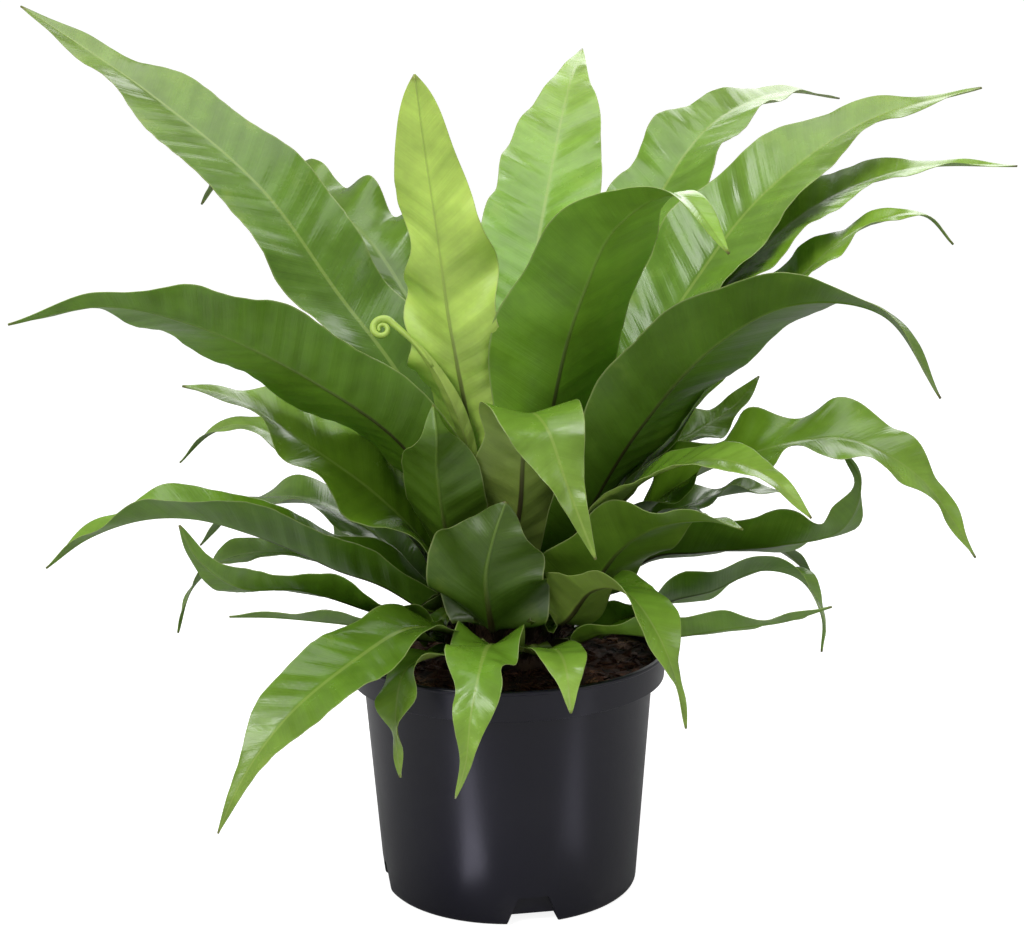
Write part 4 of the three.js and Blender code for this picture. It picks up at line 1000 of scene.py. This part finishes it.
def press_apart(grid, other):
    """Presses two blades apart where they are too close, each to the side that most of it is on."""
    low = np.maximum(grid["low"], other["low"]) - BEND_REACH - 2
    high = np.minimum(grid["high"], other["high"]) + BEND_REACH + 2
    near = np.nonzero(((grid["points"] >= low) & (grid["points"] <= high)).all(1))[0]
    facets = np.nonzero(((other["facet_high"] >= low) & (other["facet_low"] <= high)).all(1))[0]
    if not len(near) or not len(facets):
        return
    offset = grid["points"][near][:, None] - other["corner"][facets]
    height = np.einsum("pfk,fk->pf", offset, other["normal"][facets])
    s = np.einsum("pfk,fk->pf", offset, other["across_b"][facets])
    t = np.einsum("pfk,fk->pf", offset, other["across_a"][facets])
    inside = (s >= -FACET_SLACK) & (t >= -FACET_SLACK) & (s + t <= 1 + FACET_SLACK)
    touching, under = np.nonzero(inside & (np.abs(height) <= BEND_REACH))
    if not len(touching):
        return
    heights = height[touching, under]
    side = np.sign(heights.sum())
    facet = facets[under]
    point = near[touching]
    clear = BEND_CLEAR + (other["facet_thickness"][facet] + grid["thickness"][point]) / 2
    need = clear - side * heights
    short = need > 0
    push = other["normal"][facet[short]] * (side * need[short] / 2)[:, None]
    keep_largest(grid["push"], point[short], push)
    corners = other["facets"][facet[short]]
    keep_largest(other["push"], corners.ravel(), np.repeat(-push, 3, axis=0))


def bend_clear(grids):
    """Bends the fronds clear of each other, a little in each of many rounds, as their solids are."""
    for _ in range(BEND_ROUNDS):
        for grid in grids:
            corners = grid["points"][grid["facets"]]
            a = corners[:, 1] - corners[:, 0]
            b = corners[:, 2] - corners[:, 0]
            normal = np.cross(a, b)
            area = np.linalg.norm(normal, axis=1, keepdims=True)
            normal /= area
            grid["corner"] = corners[:, 0]
            grid["normal"] = normal
            grid["across_b"] = np.cross(b, normal) / area
            grid["across_a"] = np.cross(normal, a) / area
            grid["facet_low"] = corners.min(1)
            grid["facet_high"] = corners.max(1)
            grid["facet_thickness"] = grid["thickness"][grid["facets"]].max(1)
            grid["low"] = grid["points"].min(0)
            grid["high"] = grid["points"].max(0)
            grid["push"] = np.zeros_like(grid["points"])
        for place, grid in enumerate(grids):
            for other in grids[place + 1 :]:
                if (grid["low"] <= other["high"]).all() and (other["low"] <= grid["high"]).all():
                    press_apart(grid, other)
                    press_apart(other, grid)
        for grid in grids:
            push = grid["push"].reshape(grid["start"].shape)
            padded = np.pad(push, ((1, 1), (1, 1), (0, 0)), mode="edge")
            beside = padded[:-2, 1:-1] + padded[2:, 1:-1] + padded[1:-1, :-2] + padded[1:-1, 2:]
            moved = (push * OWN_PUSH + beside * PUSH_BESIDE) * grid["free"][:, None, None]
            grid["points"] = grid["points"] + moved.reshape(-1, 3)


seat_fronds()
for frond in FRONDS:
    frond["midrib"] = midrib_of(frond)
grids = [coarse_grid(frond) for frond in FRONDS]
bend_clear(grids)

FINE_STATION = 2.7
FULLER_FOOT = 0.35
FULLER_FROM = 0.06
FULLER_REACH = 0.5
CALM = 0.5
CALM_SWING = 0.45
CALM_RUN = 33
SKIN = 0.3
SKIN_THINNING = 0.5
RIB_PLACES = (0.6, 1.3, 2.1, 3.2)
RIB_SHARES = (0.1, 0.2, 0.32, 0.45)
EVEN_PLACES = 7
MARGIN_INSETS = (1.1, 0.4)
MARGIN_SHARES = (0.16, 0.07)
RIB_HALF_WIDTH = 1.9
RIB_TIP_SHARE = 0.35
RIB_ABOVE = 0.45
RIB_ABOVE_STOUT = 0.4
RIB_BELOW = 1.15

# Small waves: their length and depth, how far they sway along the blade and over what length, and how far
# the other half of the blade is out of step.
PLEATS = dict(length=12.5, depth=0.5, sway=1.3, sway_run=37, shift=2.1)
CRINKLES = dict(length=19, depth=0.45, sway=2.4, sway_run=29, shift=4)
PLEAT_STRENGTH = 0.6
PLEAT_SWING = 0.4
PLEAT_SWING_RUN = 53
PLEAT_START = 7
PLEAT_FADE = 0.6


def curve_weights(knots, places):
    """How much the value at each knot counts at each place, on a smooth curve through them all."""
    count = len(knots)
    slope = np.zeros((count, count))
    for knot in range(count):
        low, high = max(0, knot - 1), min(count - 1, knot + 1)
        slope[knot, high] += 1 / (knots[high] - knots[low])
        slope[knot, low] -= 1 / (knots[high] - knots[low])
    first = np.clip(np.searchsorted(knots, places, side="right") - 1, 0, count - 2)
    gap = knots[first + 1] - knots[first]
    t = ((places - knots[first]) / gap)[..., None]
    gap = gap[..., None]
    near = (1 + 2 * t) * (1 - t) ** 2 * np.eye(count)[first] + t * (1 - t) ** 2 * gap * slope[first]
    far = t * t * (3 - 2 * t) * np.eye(count)[first + 1] + t * t * (t - 1) * gap * slope[first + 1]
    return near + far


def places_across(half):
    """Places from -1 to 1 across a blade of each half width, close together at the rib and the margins."""
    half = half[:, None]
    rib = np.minimum(np.array(RIB_PLACES) / half, RIB_SHARES)
    edge = 1 - np.minimum(np.array(MARGIN_INSETS) / half, MARGIN_SHARES)
    share = (np.arange(EVEN_PLACES) + 1) / (EVEN_PLACES + 1)
    even = rib[:, -1:] + (edge[:, :1] - rib[:, -1:]) * share
    right = np.hstack([rib, even, edge, np.ones_like(half)])
    return np.hstack([-right[:, ::-1], np.zeros_like(half), right])


def surface_normals(points):
    """The upward direction at each point of a grid of points."""
    return unit(np.cross(np.gradient(points, axis=0), np.gradient(points, axis=1)))


def small_waves(kind, places, runs, v, phase):
    """Waves from -1 to 1 along a blade, with the two halves out of step."""
    sway = kind["sway"] * np.sin(runs / kind["sway_run"] + phase)
    return np.sin(2 * math.pi * places / kind["length"] + sway + np.where(v < 0, kind["shift"], 0))


def fullness(u):
    """How much fuller than its solid a blade is at each share, which is most in its lower half."""
    return 1 + FULLER_FOOT * smooth(u / FULLER_FROM) * (1 - smooth(u / FULLER_REACH))


def blade_middle(frond, grid, run, v, phase):
    """The middle of a blade's thickness, bent as its solid is, with curls, small pleats and crinkles."""
    u = share_of_blade(frond, run)
    calm = frond.get("wave", CALM) * (1 + CALM_SWING * np.sin(run / CALM_RUN + phase))
    moved = grid["points"].reshape(grid["start"].shape) - grid["start"]
    weights = curve_weights(grid["run"], run), curve_weights(grid["columns"], v)
    curled = np.ones_like(v)
    for side, where, reach, depth in frond.get("curls", ()):
        curled -= depth * np.exp(-(((u[:, None] - where) / reach) ** 2)) * (v * side >= 0)
    middle = blade_points(frond, run, v * curled, fullness(u), calm)
    middle = middle + np.einsum("si,scj,ijk->sck", *weights, moved)

    wide = np.abs(v)
    far = np.abs((half_width(frond, u) * fullness(u))[:, None] * v)
    runs = run[:, None]
    pleats = small_waves(PLEATS, runs - PLEAT_SLANT * far, runs, v, phase)
    strength = PLEAT_STRENGTH + PLEAT_SWING * np.sin(runs / PLEAT_SWING_RUN + 2 * phase)
    relief = PLEATS["depth"] * pleats * strength * smooth(far / PLEAT_START) * (1 - PLEAT_FADE * wide**4)
    crinkles = small_waves(CRINKLES, runs, runs, v, phase)
    relief = relief + CRINKLES["depth"] * crinkles * calm[:, None] * wide**5
    return middle + surface_normals(middle) * (relief * waved(u))[..., None]


def closed_faces(stations, columns):
    """The faces of a closed blade: its upper side, its under side and the strips along their edges."""
    top = np.arange(stations * columns).reshape(stations, columns)
    low = top + stations * columns
    quads = (
        (top[:-1, :-1], top[1:, :-1], top[1:, 1:], top[:-1, 1:]),
        (low[:-1, :-1], low[:-1, 1:], low[1:, 1:], low[1:, :-1]),
        (top[:-1, 0], low[:-1, 0], low[1:, 0], top[1:, 0]),
        (top[:-1, -1], top[1:, -1], low[1:, -1], low[:-1, -1]),
        (top[0, :-1], top[0, 1:], low[0, 1:], low[0, :-1]),
        (top[-1, :-1], low[-1, :-1], low[-1, 1:], top[-1, 1:]),
    )
    return np.concatenate([np.stack(corners, -1).reshape(-1, 4) for corners in quads]).tolist()


def note_on_mesh(piece, label, values):
    """Keeps three values for each of a piece's points, for its material to read."""
    kept = piece.data.attributes.new(label, "FLOAT_VECTOR", "POINT")
    kept.data.foreach_set("vector", np.asarray(values).ravel().astype(np.float32))


def blade_mesh(frond, grid, seed):
    """A frond's blade as one closed mesh that says where on the blade each of its points is."""
    length = frond["midrib"].length
    run = np.linspace(0, length, int(length / FINE_STATION) + 1)
    u = share_of_blade(frond, run)[:, None]
    half = half_width(frond, u[:, 0]) * fullness(u[:, 0])
    v = places_across(half)
    across = half[:, None] * v
    middle = blade_middle(frond, grid, run, v, seed * GOLDEN_ANGLE)

    stout = stoutness(run)[:, None]
    rib = (RIB_THICKNESS + (STALK_THICKNESS - RIB_THICKNESS) * stout) / 2
    rib_width = RIB_HALF_WIDTH + (STALK_HALF_WIDTH - RIB_HALF_WIDTH) * stout
    rib_width = rib_width * (RIB_TIP_SHARE + (1 - RIB_TIP_SHARE) * (1 - u))
    ridge = 1 - np.clip(np.abs(across) / rib_width, 0, 1) ** 2
    skin = SKIN * (1 - SKIN_THINNING * np.abs(v) ** 6)
    above = skin + np.maximum(0, rib * (RIB_ABOVE + RIB_ABOVE_STOUT * stout) - SKIN) * ridge
    below = skin + np.maximum(0, rib * RIB_BELOW - SKIN) * ridge
    normal = surface_normals(middle)
    points = np.stack([middle + normal * above[..., None], middle - normal * below[..., None]])
    made = make_object(frond["name"] + "_leaf", points.reshape(-1, 3), closed_faces(*v.shape))
    place = np.stack([run[:, None] * MM + across * 0, across * MM, u + across * 0], -1)
    # kind holds the place across, the side (0 on top, 1 beneath) and the frond's tone, which is partly
    # painted light and shade.
    kind = np.stack([v, v * 0, v * 0 + frond["tone_and_lighting"]], -1)
    note_on_mesh(made, "place", (place, place))
    note_on_mesh(made, "kind", (kind, kind + (0, 1, 0)))
    return made, middle


LEAF_PARTS = ("foot", "middle", "tip", "under", "rib")
LEAF_VEINS = dict(scale=620, detail=2, roughness=0.6)
LEAF_BANDS = dict(scale=95, detail=2, roughness=0.5)
LEAF_MOTTLE = dict(scale=38, detail=4, roughness=0.6)
LEAF_SPECKLE = dict(scale=300, detail=3, roughness=0.6)
VEIN_STRETCH = 0.035
TONE_AND_LIGHTING_BASE = 0.45
TONE_AND_LIGHTING_SHARE = 1.1
UNDER_SHARE = 0.75
MARGIN_SHARE = 0.5
RIB_REACH = (0.0021, 0.0007)
YELLOWED = (0.34, 0.38, 0.07, 1)
RIB_BROWN = (0.030, 0.014, 0.008, 1)
# MARGIN_PALE is painted light: the glow of light shining through the thin margin.
MARGIN_PALE = (0.36, 0.42, 0.16, 1)
DRIED_TIP = (0.12, 0.055, 0.018, 1)
STALK_BROWN = (0.025, 0.016, 0.008, 1)
WORN_ROUGHNESS = 0.12
UNDER_ROUGHNESS = 0.22
SPECKLE_ROUGHNESS = 0.06
LEAF_BUMP = 0.24
LEAF_SPECULAR = 0.5
LEAF_DEEP_LIGHT = 0.12
LEAF_DEEP_COLOUR = (0.6, 1.0, 0.15)
LEAF_DEEP_REACH = 0.002

leaf_tree, leaf_in, leaf_out = new_group(
    "leaf_surface",
    (*((label, "Color", (0, 0, 0, 1)) for label in LEAF_PARTS), ("gloss", "Float", 0.3)),
    (("Color", "Color"), ("Roughness", "Float"), ("Height", "Float")),
)
wire = Wiring(leaf_tree)
run_place, across_place, u_place = wire.parts(wire.attribute("place"))
v_place, underside, tone_and_lighting = wire.parts(wire.attribute("kind"))
far_place = wire.math("ABSOLUTE", across_place)
edge_place = wire.math("ABSOLUTE", v_place)
slant_place = wire.math("MULTIPLY_ADD", far_place, -PLEAT_SLANT, run_place)
vein_spot = wire.joined(slant_place, wire.math("MULTIPLY", across_place, VEIN_STRETCH), tone_and_lighting)
veins = wire.noise(vein_spot, **LEAF_VEINS)
bands = wire.noise(vein_spot, **LEAF_BANDS)
mottle = wire.noise(wire.place(), **LEAF_MOTTLE)
speckle = wire.noise(wire.place(), **LEAF_SPECKLE)

# Darker green towards each frond's foot: painted shade deep in the rosette, where the fronds crowd round the
# crown.
leaf = wire.mix(wire.ramp(u_place, 0.05, 0.62), leaf_in["foot"], leaf_in["middle"])
leaf = wire.mix(wire.ramp(u_place, 0.5, 1.0), leaf, leaf_in["tip"])
# The under colour is used beneath each blade. For young fronds it is much paler than the upper side: painted
# light that shines through the thin blade from behind.
leaf = wire.mix(wire.math("MULTIPLY", underside, UNDER_SHARE), leaf, leaf_in["under"])
# The frond's tone sets how light its green is: partly its own tone and partly painted light and shade, darker
# for fronds in shade and lighter for thin fronds lit through.
shade = wire.math("MULTIPLY_ADD", tone_and_lighting, TONE_AND_LIGHTING_SHARE, TONE_AND_LIGHTING_BASE)
shade = wire.math("MULTIPLY", shade, wire.ramp(bands, 0.2, 0.8, 0.9, 1.1))
shade = wire.math("MULTIPLY", shade, wire.ramp(veins, 0.2, 0.8, 0.965, 1.04))
shade = wire.math("MULTIPLY", shade, wire.ramp(mottle, 0.25, 0.75, 0.82, 1.16))
leaf = wire.mix(1.0, leaf, wire.joined(shade, shade, shade), "MULTIPLY")
yellow = wire.math("MULTIPLY", wire.ramp(mottle, 0.55, 0.8), wire.ramp(edge_place, 0.3, 1.0, 0.0, 0.3))
leaf = wire.mix(yellow, leaf, YELLOWED)

rib_reach = wire.ramp(u_place, 0.0, 1.0, *RIB_REACH)
on_rib = wire.ramp(wire.math("DIVIDE", far_place, rib_reach), 0.55, 1.1, 1.0, 0.0)
brown_part = wire.math("MULTIPLY", underside, wire.ramp(u_place, 0.3, 0.75, 1.0, 0.0))
rib_colour = wire.mix(brown_part, leaf_in["rib"], RIB_BROWN)
rib_share = wire.math("MULTIPLY", on_rib, wire.math("MULTIPLY_ADD", brown_part, 0.5, 0.4))
leaf = wire.mix(rib_share, leaf, rib_colour)
# A pale line along each margin: painted light that shines through the thin, translucent edge.
margin = wire.math("MULTIPLY", wire.ramp(edge_place, 0.965, 0.995), MARGIN_SHARE)
leaf = wire.mix(margin, leaf, MARGIN_PALE)
dried = wire.math("MULTIPLY", wire.ramp(u_place, 0.982, 1.0), wire.ramp(speckle, 0.3, 0.6, 0.2, 0.7))
leaf = wire.mix(dried, leaf, DRIED_TIP)
stalk = wire.ramp(run_place, 0.016, 0.045, 0.9, 0.0)
leaf = wire.mix(stalk, leaf, STALK_BROWN)
wire.put(leaf_out["Color"], leaf)
worn = wire.math("MULTIPLY_ADD", wire.ramp(mottle, 0.3, 0.7), WORN_ROUGHNESS, leaf_in["gloss"])
worn = wire.math("MULTIPLY_ADD", underside, UNDER_ROUGHNESS, worn)
wire.put(leaf_out["Roughness"], wire.math("MULTIPLY_ADD", speckle, SPECKLE_ROUGHNESS, worn))
relief = wire.math("MULTIPLY_ADD", bands, 1.6, veins)
wire.put(leaf_out["Height"], wire.math("MULTIPLY_ADD", speckle, 0.12, relief))

# Each age's foot colour is a dark green that is painted shade deep in the rosette.
LEAF_COLOURS = {
    # The young under colour is painted light: paler green where light comes through the thin young blade from
    # behind.
    "young": dict(
        foot=(0.065, 0.145, 0.006, 1), middle=(0.150, 0.295, 0.026, 1), tip=(0.235, 0.37, 0.055, 1),
        under=(0.29, 0.385, 0.075, 1), rib=(0.33, 0.43, 0.10, 1), gloss=0.14, depth=0.0007,
    ),
    "middle": dict(
        foot=(0.05, 0.115, 0.004, 1), middle=(0.115, 0.225, 0.014, 1), tip=(0.18, 0.30, 0.035, 1),
        under=(0.12, 0.215, 0.018, 1), rib=(0.25, 0.36, 0.07, 1), gloss=0.13, depth=0.0008,
    ),
    "mature": dict(
        foot=(0.04, 0.10, 0.003, 1), middle=(0.092, 0.19, 0.010, 1), tip=(0.15, 0.26, 0.03, 1),
        under=(0.092, 0.185, 0.012, 1), rib=(0.20, 0.31, 0.05, 1), gloss=0.12, depth=0.0009,
    ),
}
leaf_materials = {}
for age, look in LEAF_COLOURS.items():
    material, tree, shader = new_material("leaf_" + age)
    surface = tree.nodes.new("ShaderNodeGroup")
    surface.node_tree = leaf_tree
    for label in (*LEAF_PARTS, "gloss"):
        surface.inputs[label].default_value = look[label]
    wire = Wiring(tree)
    wire.put(shader.inputs["Base Color"], surface.outputs["Color"])
    wire.put(shader.inputs["Roughness"], surface.outputs["Roughness"])
    wire.put(shader.inputs["Normal"], wire.bump(surface.outputs["Height"], LEAF_BUMP, look["depth"]))
    shader.inputs["Specular IOR Level"].default_value = LEAF_SPECULAR
    shader.inputs["Subsurface Weight"].default_value = LEAF_DEEP_LIGHT
    shader.inputs["Subsurface Radius"].default_value = LEAF_DEEP_COLOUR
    shader.inputs["Subsurface Scale"].default_value = LEAF_DEEP_REACH
    leaf_materials[age] = material

for number, (frond, grid) in enumerate(zip(FRONDS, grids)):
    leaf_piece, frond["middle"] = blade_mesh(frond, grid, number)
    leaf_piece.data.materials.append(leaf_materials[frond["age"]])
    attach(leaf_piece, "root")
    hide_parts(frond["name"])

# The crozier's coil. The newest frond's tip is still rolled up in a flat spiral, as every young frond
# starts. It is the end of that frond's own midrib, with the blade's two halves rolled inside it.

COIL_TURNS = 1.5
COIL_RADIUS = (6.5, 1.4)
COIL_TIGHTENING = 0.8
COIL_STOUTEST = 0.2
COIL_THICKNESS = (0.9, 2.2, 0.9)
COIL_POINTS = 64
COIL_SIDES = 14
COIL_ROOT = 14
# COIL_LOOKS gives the coil the young under colour, which is painted light from behind, and a high tone, which
# is partly painted light.
COIL_LOOKS = dict(place=(0.2, 0.004, 0.8), kind=(0.4, 1, 0.95))

crozier = next(frond for frond in FRONDS if frond["name"] == "crozier")
rib_line = crozier["middle"][:, crozier["middle"].shape[1] // 2]
heading = unit(rib_line[-1] - rib_line[-4])
inward = unit(np.array([-1.0, 0, 0]) + heading[0] * heading)
coil_path = list(rib_line[-COIL_ROOT:-1])
coil_centre = rib_line[-1] + inward * COIL_RADIUS[0]
for step in range(COIL_POINTS):
    t = step / (COIL_POINTS - 1)
    radius = COIL_RADIUS[0] + (COIL_RADIUS[1] - COIL_RADIUS[0]) * t**COIL_TIGHTENING
    angle = 2 * math.pi * COIL_TURNS * t
    coil_path.append(coil_centre - inward * radius * math.cos(angle) + heading * radius * math.sin(angle))
coil_share = np.linspace(0, 1, len(coil_path))
coil_sizes = np.interp(coil_share, (0, COIL_STOUTEST, 1), COIL_THICKNESS)
coil = joined_mesh("crozier_coil", [swept(coil_path, coil_sizes, COIL_SIDES)], smooth=True)
for label, value in COIL_LOOKS.items():
    note_on_mesh(coil, label, [value] * len(coil.data.vertices))
coil.data.materials.append(leaf_materials["young"])
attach(coil, "root")

# The stage. A plain white sweep with soft boxes round the plant. Two dim cards of light that lie on the floor
# before the pot shine in its wall. The camera looks from a little above the pot's rim.

STAGE_HALF = 30000
STAGE_GREY = (0.5, 0.5, 0.5, 1)
STAGE_ROUGHNESS = 0.9
FLOOR_GLOW = 0.88
WORLD_LIGHT = 0.3
WORLD_SEEN = 1.05
LAMP_AIM = (0, 0, 0.25)
CAMERA_DISTANCE = 1.170
CAMERA_HEIGHT = 0.490
CAMERA_SHIFT = 0.0038
CAMERA_PITCH = 11.4
CAMERA_ROLL = 0.65
CAMERA_LENS = 72.07
LAMPS = (
    dict(name="key_box", place=(-0.75, -1.0, 1.35), size=(0.7, 1.0), power=15),
    dict(name="fill_box", place=(1.2, -0.9, 0.8), size=(0.6, 1.2), power=4),
    dict(name="top_box", place=(0.1, 0.2, 2.0), size=(1.6, 1.4), power=15),
    dict(name="spark_box", place=(-0.5, -0.5, 1.9), size=(0.3, 0.3), power=4),
    dict(name="back_box", place=(0.5, 1.5, 1.2), size=(1.2, 1.0), power=9),
)
CARD_COLOUR = (0.82, 0.8, 1)
FLOOR_CARDS = (
    (-39.5, dict(name="left_card", place=(-0.112, -0.195, 0.003), size=(0.03, 0.23), power=0.07)),
    (59.8, dict(name="right_card", place=(0.172, -0.153, 0.003), size=(0.04, 0.2), power=0.025)),
)

corners = [(x * STAGE_HALF, y * STAGE_HALF, 0) for x, y in ((-1, -1), (1, -1), (1, 1), (-1, 1))]
floor = make_object("floor", corners, [(0, 1, 2, 3)], smooth=False)
floor_material, floor_tree, floor_shader = new_material("studio_white")
floor_shader.inputs["Base Color"].default_value = STAGE_GREY
floor_shader.inputs["Roughness"].default_value = STAGE_ROUGHNESS
floor_shader.inputs["Emission Color"].default_value = (1, 1, 1, 1)
wire = Wiring(floor_tree)
seen = floor_tree.nodes.new("ShaderNodeLightPath").outputs["Is Camera Ray"]
wire.put(floor_shader.inputs["Emission Strength"], wire.math("MULTIPLY", seen, FLOOR_GLOW))
floor.data.materials.append(floor_material)


def soft_box(name, place, size, power):
    """A rectangular lamp at a place, with its two sides in metres."""
    light = bpy.data.lights.new(name, "AREA")
    light.shape = "RECTANGLE"
    light.size, light.size_y = size
    light.energy = power
    box = bpy.data.objects.new(name, light)
    box.location = place
    bpy.context.scene.collection.objects.link(box)
    return box


for lamp in LAMPS:
    box = soft_box(**lamp)
    box.rotation_euler = (Vector(LAMP_AIM) - box.location).to_track_quat("-Z", "Y").to_euler()

for turn, card in FLOOR_CARDS:
    box = soft_box(**card)
    box.data.color = CARD_COLOUR
    box.rotation_euler = (math.pi, 0, math.radians(turn))
    box.visible_camera = False

world = bpy.data.worlds.new("studio")
world.use_nodes = True
world.node_tree.nodes["Background"].inputs["Color"].default_value = (1, 1, 1, 1)
wire = Wiring(world.node_tree)
seen = world.node_tree.nodes.new("ShaderNodeLightPath").outputs["Is Camera Ray"]
world_light = wire.math("MULTIPLY_ADD", seen, WORLD_SEEN - WORLD_LIGHT, WORLD_LIGHT)
wire.put(world.node_tree.nodes["Background"].inputs["Strength"], world_light)
bpy.context.scene.world = world
bpy.context.scene.view_settings.view_transform = "Standard"

camera_data = bpy.data.cameras.new("camera")
camera_data.lens = CAMERA_LENS
camera_data.sensor_width = 36
camera = bpy.data.objects.new("camera", camera_data)
camera.location = (CAMERA_SHIFT, -CAMERA_DISTANCE, CAMERA_HEIGHT)
pitch = Matrix.Rotation(math.radians(90 - CAMERA_PITCH), 4, "X")
roll = Matrix.Rotation(math.radians(-CAMERA_ROLL), 4, "Z")
camera.rotation_euler = (pitch @ roll).to_euler()
bpy.context.scene.collection.objects.link(camera)
bpy.context.scene.camera = camera
